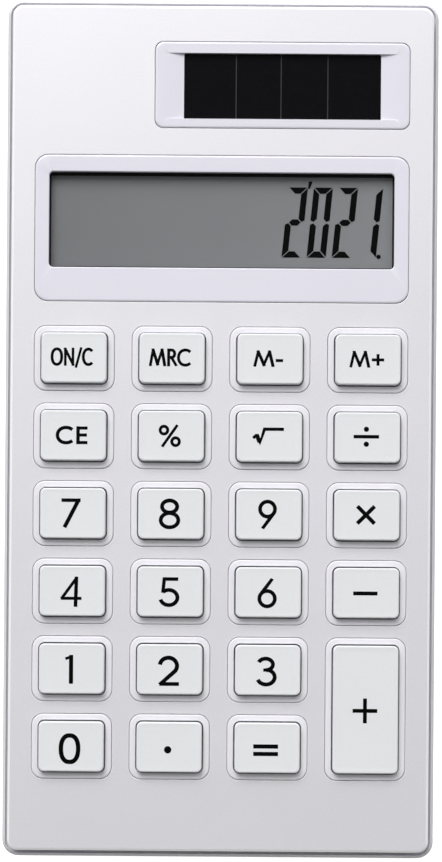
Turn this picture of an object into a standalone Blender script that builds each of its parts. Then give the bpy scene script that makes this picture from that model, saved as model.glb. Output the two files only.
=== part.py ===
"""Slim pocket calculator, lying on its back, built as the separate pieces it is assembled from.

Frame: +X to the right across the keys, +Y towards the display end, +Z out of the key face.
The origin is the centre of the footprint, on the surface that the rubber feet stand on.
Lengths are in metres. Each object is one physical piece, named as a person would name it.
"""

import math

import bmesh
import bpy
from mathutils import Matrix

MM = 0.001

# Outer body
BODY_WIDTH = 60.8 * MM
BODY_LENGTH = 120.6 * MM
BODY_CORNER = 2.3 * MM
WALL = 1.3 * MM
BACK_ROUND = 1.2 * MM
SHOULDER_ROUND = 0.4 * MM

# Heights of the stack, from the surface that the feet stand on
BACK_Z = 0.4 * MM
FLOOR_Z = 1.6 * MM
BOARD_Z = (3.2 * MM, 4.2 * MM)
SPLIT_Z = 5.05 * MM
SHOULDER_Z = 8.2 * MM
DECK_Z = (7.35 * MM, 8.35 * MM)
PLATE_Z = (8.45 * MM, 8.95 * MM)
COLLAR_TOP_Z = 9.05 * MM
KEY_FOOT_Z = 6.5 * MM
KEY_TOP_Z = 10.0 * MM

# Clearances: a fit between two moulded pieces, and the hairline round a piece seen in the plate
FIT = 0.2 * MM
HAIRLINE = 0.10 * MM
SPLIT_GAP = 0.1 * MM
THROUGH = 1.0 * MM

# Lip that keys the two housings together
LIP = 0.5 * MM
LIP_TOP_Z = 5.9 * MM

# Face plate, the deck under it, and the shadow groove between the plate and the rim of the body
PLATE_WIDTH = 59.15 * MM
PLATE_LENGTH = 118.75 * MM
PLATE_CORNER = 1.5 * MM
PLATE_EDGE = 0.12 * MM
DECK_INSET = 1.05 * MM
RIM_WIDTH = 0.45 * MM
GROOVE_Z = 7.4 * MM

# Keypad
COLUMN_PITCH = 13.74 * MM
ROW_PITCH = 10.90 * MM
TOP_ROW_Y = 9.76 * MM
CAP_WIDTH = 9.15 * MM
CAP_DEPTH = 7.02 * MM
CAP_CORNER = 0.75 * MM
CAP_ROUND = 0.3 * MM
CAP_CLEARANCE = 0.18 * MM
FLANGE_RIM = 0.7 * MM
FLANGE_THICKNESS = 0.7 * MM
COLLAR_RIM = 1.03 * MM
COLLAR_CORNER = 1.65 * MM
KEY_ROWS = (
    ("key_on_clear", "key_memory_recall", "key_memory_minus", "key_memory_plus"),
    ("key_clear_entry", "key_percent", "key_square_root", "key_divide"),
    ("key_7", "key_8", "key_9", "key_multiply"),
    ("key_4", "key_5", "key_6", "key_minus"),
    ("key_1", "key_2", "key_3", "key_plus"),
    ("key_0", "key_decimal", "key_equals"),
)
TALL_KEY = "key_plus"

# Display: the surround seen in the plate, its opening, and the stack below
SURROUND_X = (-26.27 * MM, 26.24 * MM)
SURROUND_Y = (17.82 * MM, 38.35 * MM)
SURROUND_CORNER = 1.9 * MM
SCREEN_X = (-24.3 * MM, 24.2 * MM)
SCREEN_Y = (22.58 * MM, 36.0 * MM)
SCREEN_CORNER = 0.6 * MM
WINDOW_MARGIN = 1.0 * MM
WINDOW_Z = (7.95 * MM, 8.35 * MM)
GASKET_Z = (7.7 * MM, 7.85 * MM)
GASKET_BORDER = (0.19 * MM, 0.27 * MM, 0.34 * MM)  # at the sides, the bottom and the top
LCD_X = 26.5 * MM
LCD_Y = (19.6 * MM, 37.6 * MM)
LCD_LEDGE = 2.2 * MM
POLARISER_Z = (7.35 * MM, 7.6 * MM)
FRONT_GLASS_Z = (6.7 * MM, 7.25 * MM)
REAR_GLASS_Z = (6.05 * MM, 6.6 * MM)
REFLECTOR_Z = (5.8 * MM, 5.95 * MM)
STRIP_Z = (4.3 * MM, 6.6 * MM)

# Solar cell: the frame seen in the plate, its opening with a ramp at each end, and the cell
SOLAR_X = (-9.51 * MM, 26.24 * MM)
SOLAR_Y = (42.27 * MM, 54.33 * MM)
SOLAR_CORNER = 1.2 * MM
CELL_WINDOW_X = (-5.49 * MM, 22.21 * MM)
CELL_WINDOW_Y = (43.53 * MM, 52.77 * MM)
CELL_RAMP = 2.4 * MM
CELL_MARGIN = 0.7 * MM
CELL_Z = (7.7 * MM, 8.35 * MM)
CELL_POCKET_Z = 7.6 * MM
FRAME_FOOT_Z = 8.45 * MM
LEAD_RADIUS = 0.3 * MM
LEAD_REACH = 7.0 * MM

# Circuit board and what is on it
BOARD_X = 24.8 * MM
BOARD_Y = (-50.5 * MM, 41.0 * MM)
CHIP_PLACE = (8.0 * MM, 28.0 * MM)
CAPACITOR_PLACE = (-10.0 * MM, 30.0 * MM)

# Silicone sheet under the keys
MAT_X = 26.0 * MM
MAT_Y = (-50.0 * MM, 14.8 * MM)
MAT_Z = (4.35 * MM, 4.95 * MM)
DOME_TOP_Z = 6.35 * MM
DOME_RADII = (3.2 * MM, 1.9 * MM)
DOME_SKIN = 0.6 * MM

# Button cell and its compartment, opened by a cover that slides off over the display end
CELL_CENTRE = (-15.6 * MM, 49.5 * MM)
CELL_RADIUS = 5.8 * MM
CELL_HEIGHTS = (1.9 * MM, 4.55 * MM, 4.95 * MM)
CELL_CAP_RADIUS = 4.7 * MM
WELL_CLEARANCE = 0.3 * MM
WELL_WALL = 0.9 * MM
WELL_TOP_Z = 4.6 * MM
TRAY_Z = (1.8 * MM, 2.7 * MM)
COVER_WIDTH = 16.0 * MM
COVER_TONGUE = 0.9 * MM
COVER_START_Y = 41.0 * MM
COVER_TONGUE_START_Y = 40.2 * MM
COVER_CAP_Y = 58.9 * MM
COVER_TOP_Z = 1.6 * MM
TONGUE_Z = 1.15 * MM
CONTACT_THICKNESS = 0.25 * MM

# Screws, bosses and feet
CASE_SCREWS = (
    (-26.8 * MM, 40.3 * MM),
    (26.8 * MM, 40.3 * MM),
    (-24.5 * MM, -54.8 * MM),
    (24.5 * MM, -54.8 * MM),
)
BOARD_SCREWS = tuple(
    (side * COLUMN_PITCH, TOP_ROW_Y - row * ROW_PITCH) for row in (0.5, 4.5) for side in (-1, 1)
)
CASE_BOSS_RADIUS = 1.7 * MM
BOARD_BOSS_RADIUS = 1.2 * MM
PILOT_RADIUS = 0.62 * MM
BOSS_MEET_Z = 3.45 * MM
FEET = tuple((side * 23.5 * MM, y) for y in (32.0 * MM, -46.5 * MM) for side in (-1, 1))
FOOT_RADIUS = 3.5 * MM
FOOT_TOP_Z = 0.9 * MM

# How finely round shapes are divided
BODY_STEPS = 4
SMALL_STEPS = 2
ROUND_SIDES = 24
SMALL_SIDES = 12
DOME_SIDES = 8

PARTS = None
CUTTERS = None


def clear_scene():
    for obj in list(bpy.data.objects):
        bpy.data.objects.remove(obj, do_unlink=True)


def new_collection(name):
    collection = bpy.data.collections.new(name)
    bpy.context.scene.collection.children.link(collection)
    return collection


def material(name, colour, roughness, metallic=0.0, alpha=1.0):
    found = bpy.data.materials.get(name)
    if found:
        return found
    made = bpy.data.materials.new(name)
    made.use_nodes = True
    shader = made.node_tree.nodes["Principled BSDF"]
    shader.inputs["Base Color"].default_value = (*colour, 1.0)
    shader.inputs["Roughness"].default_value = roughness
    shader.inputs["Metallic"].default_value = metallic
    shader.inputs["Alpha"].default_value = alpha
    return made


def white_plastic():
    return material("white_plastic", (0.78, 0.77, 0.80), 0.38)


def trim_plastic():
    return material("trim_plastic", (0.75, 0.74, 0.83), 0.25)


def key_plastic():
    return material("key_plastic", (0.76, 0.77, 0.79), 0.42)


def plate_metal():
    return material("plate_metal", (0.80, 0.80, 0.83), 0.45, metallic=0.6)


def spring_metal():
    return material("spring_metal", (0.72, 0.70, 0.66), 0.3, metallic=1.0)


def add_part(name, mesh, look, place=(0.0, 0.0, 0.0)):
    """Adds one piece to the model, with its own material."""
    obj = bpy.data.objects.new(name, mesh)
    obj.location = place
    if not mesh.materials:
        mesh.materials.append(look)
    PARTS.objects.link(obj)
    return obj


def add_cutter(name, mesh):
    obj = bpy.data.objects.new(name, mesh)
    obj.hide_render = True
    obj.display_type = "WIRE"
    CUTTERS.objects.link(obj)
    return obj


def combine(target, name, mesh, operation="DIFFERENCE"):
    """Cuts a mesh out of the target, or joins it on, with a Boolean modifier."""
    modifier = target.modifiers.new(name, "BOOLEAN")
    modifier.operation = operation
    modifier.solver = "EXACT"
    modifier.object = add_cutter(target.name + "_" + name, mesh)


def level_edges(bm, z):
    """The edges of the outline at one height."""
    return [e for e in bm.edges if all(abs(v.co.z - z) < 1e-7 for v in e.verts)]


def slab(x, y, z, corner=0.0, steps=SMALL_STEPS, top_round=0.0, bottom_round=0.0, round_steps=1):
    """A box between two values on each axis, with round plan corners and, if asked, round rims."""
    size = (x[1] - x[0], y[1] - y[0], z[1] - z[0])
    centre = ((x[0] + x[1]) / 2, (y[0] + y[1]) / 2, (z[0] + z[1]) / 2)
    bm = bmesh.new()
    bmesh.ops.create_cube(bm, size=1.0, matrix=Matrix.Translation(centre) @ Matrix.Diagonal((*size, 1.0)))
    if corner > 0:
        upright = [e for e in bm.edges if abs(e.verts[0].co.z - e.verts[1].co.z) > size[2] / 2]
        bmesh.ops.bevel(bm, geom=upright, offset=corner, segments=steps, profile=0.5, affect="EDGES")
    for height, amount in ((z[1], top_round), (z[0], bottom_round)):
        if amount > 0:
            rim = level_edges(bm, height)
            bmesh.ops.bevel(bm, geom=rim, offset=amount, segments=round_steps, profile=0.5, affect="EDGES")
    return finished(bm)


def finished(bm, name="piece"):
    bmesh.ops.recalc_face_normals(bm, faces=bm.faces)
    mesh = bpy.data.meshes.new(name)
    bm.to_mesh(mesh)
    bm.free()
    return mesh


def centred_slab(width, depth, z, centre=(0.0, 0.0), **rounding):
    x = (centre[0] - width / 2, centre[0] + width / 2)
    y = (centre[1] - depth / 2, centre[1] + depth / 2)
    return slab(x, y, z, **rounding)


def grown(span, amount):
    return (span[0] - amount, span[1] + amount)


def drum(radii, z, centre=(0.0, 0.0), sides=SMALL_SIDES):
    """A cylinder, or a cone where the bottom and top radii differ."""
    bm = bmesh.new()
    middle = Matrix.Translation((*centre, (z[0] + z[1]) / 2))
    bmesh.ops.create_cone(
        bm, cap_ends=True, segments=sides, radius1=radii[0], radius2=radii[1], depth=z[1] - z[0], matrix=middle
    )
    return finished(bm)


def cylinder(radius, z, centre=(0.0, 0.0), sides=SMALL_SIDES):
    return drum((radius, radius), z, centre, sides)


def gathered(meshes):
    """One mesh that holds several separate shapes, for a single Boolean."""
    bm = bmesh.new()
    for mesh in meshes:
        bm.from_mesh(mesh)
        bpy.data.meshes.remove(mesh)
    return finished(bm, "group")


def turned(name, profile, look, centre, sides=ROUND_SIDES):
    """A piece turned about the upright line through its centre. The profile runs from top to bottom."""
    mesh = bpy.data.meshes.new(name)
    points = [(radius, 0.0, z) for radius, z in profile]
    mesh.from_pydata(points, [(i, i + 1) for i in range(len(points) - 1)], [])
    obj = add_part(name, mesh, look, (*centre, 0.0))
    screw = obj.modifiers.new("turn", "SCREW")
    screw.steps = sides
    screw.render_steps = sides
    screw.use_merge_vertices = True
    screw.merge_threshold = 0.00001
    return obj


def bent_strip(name, path, width, look, place):
    """A flat metal strip: a path seen from its edge, drawn out across its width and thickened."""
    mesh = bpy.data.meshes.new(name)
    rows = [(-width / 2, along, up) for along, up in path] + [(width / 2, along, up) for along, up in path]
    count = len(path)
    faces = [(i, i + 1, count + i + 1, count + i) for i in range(count - 1)]
    mesh.from_pydata(rows, [], faces)
    obj = add_part(name, mesh, look, place)
    solidify = obj.modifiers.new("thickness", "SOLIDIFY")
    solidify.thickness = CONTACT_THICKNESS
    solidify.offset = 0.0
    return obj


def wire(name, route, radius, look):
    """An insulated lead that follows the points of its route."""
    curve = bpy.data.curves.new(name, "CURVE")
    curve.dimensions = "3D"
    curve.bevel_depth = radius
    curve.bevel_resolution = 1
    curve.use_fill_caps = True
    spline = curve.splines.new("POLY")
    spline.points.add(len(route) - 1)
    for point, place in zip(spline.points, route):
        point.co = (*place, 1.0)
    curve.materials.append(look)
    obj = bpy.data.objects.new(name, curve)
    PARTS.objects.link(obj)
    return obj


def key_places():
    """Each key's name, centre and height along Y. The tall key spans the last two rows."""
    places = []
    for row, names in enumerate(KEY_ROWS):
        for column, name in enumerate(names):
            x = (column - 1.5) * COLUMN_PITCH
            y = TOP_ROW_Y - row * ROW_PITCH
            depth = CAP_DEPTH
            if name == TALL_KEY:
                y -= ROW_PITCH / 2
                depth += ROW_PITCH
            places.append((name, (x, y), depth))
    return places


def key_shapes(margin, corner, z):
    """One shape for each key, grown by a margin round its cap."""
    return [
        centred_slab(CAP_WIDTH + 2 * margin, depth + 2 * margin, z, centre, corner=corner)
        for _, centre, depth in key_places()
    ]


def collar_shapes(margin, z):
    return key_shapes(COLLAR_RIM + margin, COLLAR_CORNER + margin, z)


def outline(inset, corner, z, **rounding):
    """A slab with the body's plan outline, drawn in by an inset."""
    return centred_slab(
        BODY_WIDTH - 2 * inset, BODY_LENGTH - 2 * inset, z, corner=corner, steps=BODY_STEPS, **rounding
    )


def back_envelope():
    """The outer form of the back: round plan corners and a round rim underneath."""
    return outline(
        0.0, BODY_CORNER, (BACK_Z, SPLIT_Z - SPLIT_GAP / 2), bottom_round=BACK_ROUND, round_steps=SMALL_STEPS
    )


def make_rear_housing():
    """Tray with the locating lip, board ribs, screw bosses, battery tray and cover channel."""
    housing = add_part("rear_housing", back_envelope(), white_plastic())
    lip_inset = WALL - LIP
    combine(housing, "lip", outline(lip_inset, BODY_CORNER - lip_inset, (BOARD_Z[1], LIP_TOP_Z)), "UNION")
    combine(housing, "cavity", outline(WALL, BODY_CORNER - WALL, (FLOOR_Z, LIP_TOP_Z + THROUGH)))

    half = COVER_WIDTH / 2
    x, y = CELL_CENTRE
    tray_x = (x - half - COVER_TONGUE - WALL, x + half + COVER_TONGUE + WALL)
    tray_y = (COVER_TONGUE_START_Y - WALL, BODY_LENGTH / 2 - WALL / 2)
    combine(housing, "battery_tray", slab(tray_x, tray_y, (FLOOR_Z - FIT, TRAY_Z[1])), "UNION")
    well_radius = CELL_RADIUS + WELL_CLEARANCE
    well_wall = cylinder(well_radius + WELL_WALL, (TRAY_Z[1] - FIT, WELL_TOP_Z), CELL_CENTRE, ROUND_SIDES)
    ribs = [slab((-20 * MM, 20 * MM), (y0, y0 + 1.0 * MM), (FLOOR_Z - FIT, 3.05 * MM)) for y0 in rib_places()]
    bosses = [cylinder(CASE_BOSS_RADIUS, (FLOOR_Z - FIT, BOSS_MEET_Z - SPLIT_GAP), place) for place in CASE_SCREWS]
    combine(housing, "ribs_and_bosses", gathered([well_wall, *ribs, *bosses]), "UNION")

    out_y = BODY_LENGTH / 2 + THROUGH
    below = BACK_Z - THROUGH
    side = half + FIT
    channel = slab((x - side, x + side), (COVER_START_Y - FIT, out_y), (below, TONGUE_Z))
    combine(housing, "cover_opening", channel)
    side = half + COVER_TONGUE + FIT
    groove = slab((x - side, x + side), (COVER_TONGUE_START_Y - FIT, out_y), (TONGUE_Z - FIT, TRAY_Z[0]))
    combine(housing, "cover_groove", groove)
    mouth = slab((x - side, x + side), (COVER_CAP_Y - FIT, out_y), (below, TONGUE_Z))
    combine(housing, "cover_mouth", mouth)
    well = cylinder(well_radius, (COVER_TOP_Z, WELL_TOP_Z + THROUGH), CELL_CENTRE, ROUND_SIDES)
    combine(housing, "battery_well", well)
    slot_x = (x - well_radius - WELL_WALL - FIT, x - CELL_RADIUS)
    combine(housing, "contact_slot", slab(slot_x, (y - 4.5 * MM, y + 4.5 * MM), (TRAY_Z[1], WELL_TOP_Z + THROUGH)))

    holes = [cylinder(0.75 * MM, (BACK_Z, BOSS_MEET_Z), place) for place in CASE_SCREWS]
    combine(housing, "screw_holes", gathered(holes))
    sinks = [cylinder(1.6 * MM, (below, 1.2 * MM), place) for place in CASE_SCREWS]
    seats = [cylinder(FOOT_RADIUS + FIT, (below, FOOT_TOP_Z + SPLIT_GAP), place, ROUND_SIDES) for place in FEET]
    panel = centred_slab(34 * MM, 16 * MM, (below, BACK_Z + FIT), (0.0, -6.0 * MM), corner=1.0 * MM)
    combine(housing, "back_recesses", gathered([*sinks, *seats, panel]))


def rib_places():
    """Where the ribs that carry the board cross the back, between the rows of keys."""
    return [TOP_ROW_Y - row * ROW_PITCH - 0.5 * MM for row in (1.0, 3.0, 5.0)]


def make_front_housing():
    """Frame and deck under the plate, with a raised collar round every key and the screw bosses."""
    front = add_part(
        "front_housing",
        outline(0.0, BODY_CORNER, (SPLIT_Z + SPLIT_GAP / 2, SHOULDER_Z), top_round=SHOULDER_ROUND),
        white_plastic(),
    )
    groove = outline(RIM_WIDTH, BODY_CORNER - RIM_WIDTH, (GROOVE_Z, SHOULDER_Z + THROUGH))
    combine(front, "groove", groove)
    deck = outline(DECK_INSET, BODY_CORNER - DECK_INSET, (SHOULDER_Z - THROUGH, DECK_Z[1]))
    combine(front, "deck", deck, "UNION")
    combine(front, "collars", gathered(collar_shapes(0.0, (DECK_Z[1] - FIT, COLLAR_TOP_Z))), "UNION")
    combine(front, "cavity", outline(WALL, BODY_CORNER - WALL, (BOSS_MEET_Z, DECK_Z[0])))
    rebate_inset = WALL - LIP - FIT
    combine(front, "lip_rebate", outline(rebate_inset, BODY_CORNER - rebate_inset, (BOSS_MEET_Z, LIP_TOP_Z + FIT)))

    boss_top = DECK_Z[0] + FIT
    case_bosses = [cylinder(CASE_BOSS_RADIUS, (BOSS_MEET_Z, boss_top), place) for place in CASE_SCREWS]
    board_bosses = [cylinder(BOARD_BOSS_RADIUS, (MAT_Z[0], boss_top), place) for place in BOARD_SCREWS]
    combine(front, "bosses", gathered(case_bosses + board_bosses), "UNION")

    top = COLLAR_TOP_Z + THROUGH
    openings = key_shapes(CAP_CLEARANCE, CAP_CORNER + CAP_CLEARANCE, (DECK_Z[0] - THROUGH, top))
    window_side = WINDOW_MARGIN + FIT
    screen = slab(grown(SCREEN_X, window_side), grown(SCREEN_Y, window_side), (DECK_Z[0] - THROUGH, top))
    lead_hole = slab(grown(CELL_WINDOW_X, -THROUGH), grown(CELL_WINDOW_Y, -THROUGH), (DECK_Z[0] - THROUGH, top))
    combine(front, "openings", gathered([*openings, screen, lead_hole]))
    cell_margin = CELL_MARGIN + FIT
    cell_pocket = slab(grown(CELL_WINDOW_X, cell_margin), grown(CELL_WINDOW_Y, cell_margin), (CELL_POCKET_Z, top))
    pilots = [cylinder(PILOT_RADIUS, (BOSS_MEET_Z - THROUGH, 7.0 * MM), place) for place in CASE_SCREWS]
    pilots += [cylinder(PILOT_RADIUS, (BOSS_MEET_Z, 6.8 * MM), place) for place in BOARD_SCREWS]
    combine(front, "pockets", gathered([cell_pocket, *pilots]))


def make_face_plate():
    """Thin aluminium sheet bonded on the deck, pierced for the collars, the display and the cell."""
    sheet = centred_slab(
        PLATE_WIDTH, PLATE_LENGTH, PLATE_Z, corner=PLATE_CORNER, steps=BODY_STEPS, top_round=PLATE_EDGE
    )
    plate = add_part("face_plate", sheet, plate_metal())
    z = (PLATE_Z[0] - THROUGH, PLATE_Z[1] + THROUGH)
    apertures = collar_shapes(HAIRLINE, z)
    apertures.append(slab(grown(SURROUND_X, HAIRLINE), grown(SURROUND_Y, HAIRLINE), z, corner=SURROUND_CORNER))
    apertures.append(slab(grown(SOLAR_X, HAIRLINE), grown(SOLAR_Y, HAIRLINE), z, corner=SOLAR_CORNER))
    combine(plate, "apertures", gathered(apertures))


def make_display():
    """Surround, clear window, foam gasket and the layers of the liquid crystal panel."""
    surround = add_part(
        "display_surround",
        slab(SURROUND_X, SURROUND_Y, (FRAME_FOOT_Z, COLLAR_TOP_Z), corner=SURROUND_CORNER, steps=BODY_STEPS),
        trim_plastic(),
    )
    opening_z = (FRAME_FOOT_Z - THROUGH, COLLAR_TOP_Z + THROUGH)
    combine(surround, "screen", slab(SCREEN_X, SCREEN_Y, opening_z, corner=SCREEN_CORNER))

    window_x = grown(SCREEN_X, WINDOW_MARGIN)
    window_y = grown(SCREEN_Y, WINDOW_MARGIN)
    window = slab(window_x, window_y, WINDOW_Z)
    add_part("display_window", window, material("clear_acrylic", (0.95, 0.96, 0.97), 0.05, alpha=0.25))

    glass = material("lcd_glass", (0.30, 0.32, 0.31), 0.08)
    panel_x = (-LCD_X, LCD_X)
    gasket = add_part(
        "display_gasket", slab(window_x, window_y, GASKET_Z), material("black_foam", (0.02, 0.02, 0.02), 0.9)
    )
    side, bottom, top = GASKET_BORDER
    hole_y = (SCREEN_Y[0] + bottom, SCREEN_Y[1] - top)
    combine(gasket, "hole", slab(grown(SCREEN_X, -side), hole_y, grown(GASKET_Z, THROUGH)))

    film = material("polariser_film", (0.20, 0.21, 0.22), 0.3)
    short_y = (LCD_Y[0] + LCD_LEDGE, LCD_Y[1])
    add_part("lcd_polariser", slab(window_x, window_y, POLARISER_Z), film)
    add_part("lcd_front_glass", slab(panel_x, LCD_Y, FRONT_GLASS_Z), glass)
    add_part("lcd_rear_glass", slab(panel_x, short_y, REAR_GLASS_Z), glass)
    reflector = material("reflector_film", (0.55, 0.56, 0.55), 0.35, metallic=0.5)
    add_part("lcd_reflector", slab(panel_x, short_y, REFLECTOR_Z), reflector)
    strip = slab((-24 * MM, 24 * MM), (LCD_Y[0], LCD_Y[0] + LCD_LEDGE - 2 * FIT), STRIP_Z)
    add_part("zebra_connector", strip, material("grey_silicone", (0.25, 0.25, 0.26), 0.7))


def ramp_cutter():
    """The opening over the solar cell: upright above and below, sloping down to the cell at each end."""
    bm = bmesh.new()
    low, high = CELL_WINDOW_X
    lift = COLLAR_TOP_Z - FRAME_FOOT_Z
    slope = CELL_RAMP / lift
    past = THROUGH
    outline_xz = (
        (low, FRAME_FOOT_Z - past),
        (high, FRAME_FOOT_Z - past),
        (high, FRAME_FOOT_Z + FIT),
        (high + (lift - FIT + past) * slope, COLLAR_TOP_Z + past),
        (low - (lift - FIT + past) * slope, COLLAR_TOP_Z + past),
        (low, FRAME_FOOT_Z + FIT),
    )
    near = bm.faces.new([bm.verts.new((x, CELL_WINDOW_Y[0], z)) for x, z in outline_xz])
    drawn = bmesh.ops.extrude_face_region(bm, geom=[near])
    moved = [v for v in drawn["geom"] if isinstance(v, bmesh.types.BMVert)]
    bmesh.ops.translate(bm, verts=moved, vec=(0.0, CELL_WINDOW_Y[1] - CELL_WINDOW_Y[0], 0.0))
    return finished(bm)


def make_solar():
    """Frame with a ramp at each end of its opening, the cell under it, and the cell's two leads."""
    frame = add_part(
        "solar_frame",
        slab(SOLAR_X, SOLAR_Y, (FRAME_FOOT_Z, COLLAR_TOP_Z), corner=SOLAR_CORNER, steps=BODY_STEPS),
        trim_plastic(),
    )
    combine(frame, "opening", ramp_cutter())
    cell = slab(grown(CELL_WINDOW_X, CELL_MARGIN), grown(CELL_WINDOW_Y, CELL_MARGIN), CELL_Z)
    add_part("solar_cell", cell, material("solar_glass", (0.008, 0.008, 0.01), 0.15))

    solder_y = BOARD_Y[1] - 1.2 * MM
    solder_z = BOARD_Z[1] + LEAD_RADIUS + SPLIT_GAP
    top_z = DECK_Z[0] + SPLIT_GAP
    steps = 8
    leads = (
        ("solar_lead_positive", -1.5 * MM, (0.55, 0.03, 0.03)),
        ("solar_lead_negative", 1.5 * MM, (0.02, 0.02, 0.02)),
    )
    for name, x, colour in leads:
        route = []
        for step in range(steps + 1):
            part = step / steps
            rise = (1 - math.cos(math.pi * part)) / 2
            route.append((x, solder_y + LEAD_REACH * part, solder_z + (top_z - solder_z) * rise))
        wire(name, route, LEAD_RADIUS, material(name + "_insulation", colour, 0.5))


def make_board():
    """Circuit board, the controller under its blob of epoxy, and the capacitor of the solar supply."""
    laminate = material("board_laminate", (0.05, 0.22, 0.10), 0.45)
    board = add_part("circuit_board", slab((-BOARD_X, BOARD_X), BOARD_Y, BOARD_Z, corner=1.0 * MM), laminate)
    holes = [cylinder(0.75 * MM, grown(BOARD_Z, THROUGH), place) for place in BOARD_SCREWS]
    combine(board, "screw_holes", gathered(holes))

    under = BOARD_Z[0] - SPLIT_GAP
    radius, sag, steps = 4.5 * MM, 1.1 * MM, 5
    dome = [(0.0, under)]
    for step in range(steps):
        turn = math.pi / 2 * step / steps
        dome.append((radius * math.cos(turn), under - sag * math.sin(turn)))
    dome.append((0.0, under - sag))
    turned("controller_chip", dome, material("black_epoxy", (0.015, 0.015, 0.015), 0.3), CHIP_PLACE)
    can = centred_slab(3.5 * MM, 2.8 * MM, (under - 1.2 * MM, under), CAPACITOR_PLACE, corner=0.4 * MM)
    add_part("capacitor", can, material("capacitor_body", (0.42, 0.30, 0.12), 0.5))


def make_key_mat():
    """Silicone sheet with one hollow dome under each key, which springs the key back."""
    silicone = material("silicone", (0.55, 0.56, 0.58), 0.6)
    mat = add_part("key_mat", slab((-MAT_X, MAT_X), MAT_Y, MAT_Z), silicone)
    foot, crown = DOME_RADII
    centres = [centre for _, centre, _ in key_places()]
    outer_z = (MAT_Z[1] - FIT, DOME_TOP_Z)
    domes = [drum((foot, crown), outer_z, centre, DOME_SIDES) for centre in centres]
    combine(mat, "domes", gathered(domes), "UNION")
    inner_z = (MAT_Z[0] - THROUGH, DOME_TOP_Z - DOME_SKIN)
    hollows = [drum((foot - DOME_SKIN / 2, crown - DOME_SKIN), inner_z, centre, DOME_SIDES) for centre in centres]
    holes = [cylinder(BOARD_BOSS_RADIUS + FIT, grown(MAT_Z, THROUGH), place, DOME_SIDES) for place in BOARD_SCREWS]
    combine(mat, "hollows_and_holes", gathered(hollows + holes))


def key_mesh(depth):
    """A cap on a flange. The flange is held under the deck, and the cap stands up through its collar."""
    rim = 2 * FLANGE_RIM
    size = (CAP_WIDTH + rim, depth + rim, FLANGE_THICKNESS)
    bm = bmesh.new()
    lifted = Matrix.Translation((0.0, 0.0, FLANGE_THICKNESS / 2)) @ Matrix.Diagonal((*size, 1.0))
    bmesh.ops.create_cube(bm, size=1.0, matrix=lifted)
    upright = [e for e in bm.edges if abs(e.verts[0].co.z - e.verts[1].co.z) > FLANGE_THICKNESS / 2]
    corner = CAP_CORNER + FLANGE_RIM
    bmesh.ops.bevel(bm, geom=upright, offset=corner, segments=SMALL_STEPS, profile=0.5, affect="EDGES")
    bm.normal_update()
    top = [face for face in bm.faces if face.normal.z > 0.9]
    bmesh.ops.inset_region(bm, faces=top, thickness=FLANGE_RIM, use_even_offset=True)
    drawn = bmesh.ops.extrude_face_region(bm, geom=top)
    bmesh.ops.delete(bm, geom=top, context="FACES_ONLY")
    moved = [v for v in drawn["geom"] if isinstance(v, bmesh.types.BMVert)]
    cap_height = KEY_TOP_Z - KEY_FOOT_Z
    bmesh.ops.translate(bm, verts=moved, vec=(0.0, 0.0, cap_height - FLANGE_THICKNESS))
    rim_edges = level_edges(bm, cap_height)
    bmesh.ops.bevel(bm, geom=rim_edges, offset=CAP_ROUND, segments=SMALL_STEPS, profile=0.5, affect="EDGES")
    return finished(bm, "key")


def make_keys():
    """Every key's origin is on the upright line that it travels along."""
    meshes = {}
    for name, centre, depth in key_places():
        if depth not in meshes:
            meshes[depth] = key_mesh(depth)
        add_part(name, meshes[depth], key_plastic(), (*centre, KEY_FOOT_Z))


def make_battery_cover():
    """Cover that slides off over the display end: a plate, a tongue on three sides and an end cap."""
    x = CELL_CENTRE[0]
    half = COVER_WIDTH / 2
    end = BODY_LENGTH / 2 + THROUGH
    below = BACK_Z - THROUGH
    wide = (x - half - COVER_TONGUE, x + half + COVER_TONGUE)
    blank = slab(wide, (COVER_TONGUE_START_Y, end), (below, COVER_TOP_Z))
    cover = add_part("battery_cover", blank, white_plastic())
    combine(cover, "back_form", back_envelope(), "INTERSECT")
    step_y = (COVER_TONGUE_START_Y - THROUGH, COVER_CAP_Y)
    left_step = slab((wide[0] - THROUGH, x - half), step_y, (below, TONGUE_Z))
    right_step = slab((x + half, wide[1] + THROUGH), step_y, (below, TONGUE_Z))
    combine(cover, "side_steps", gathered([left_step, right_step]))
    inner_step = slab((wide[0] - THROUGH, wide[1] + THROUGH), (step_y[0], COVER_START_Y), (below, TONGUE_Z))
    combine(cover, "inner_step", inner_step)
    grip = centred_slab(9 * MM, 5 * MM, (below, BACK_Z + 0.35 * MM), (x, 50.0 * MM), corner=1.5 * MM)
    combine(cover, "finger_grip", grip)


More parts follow.
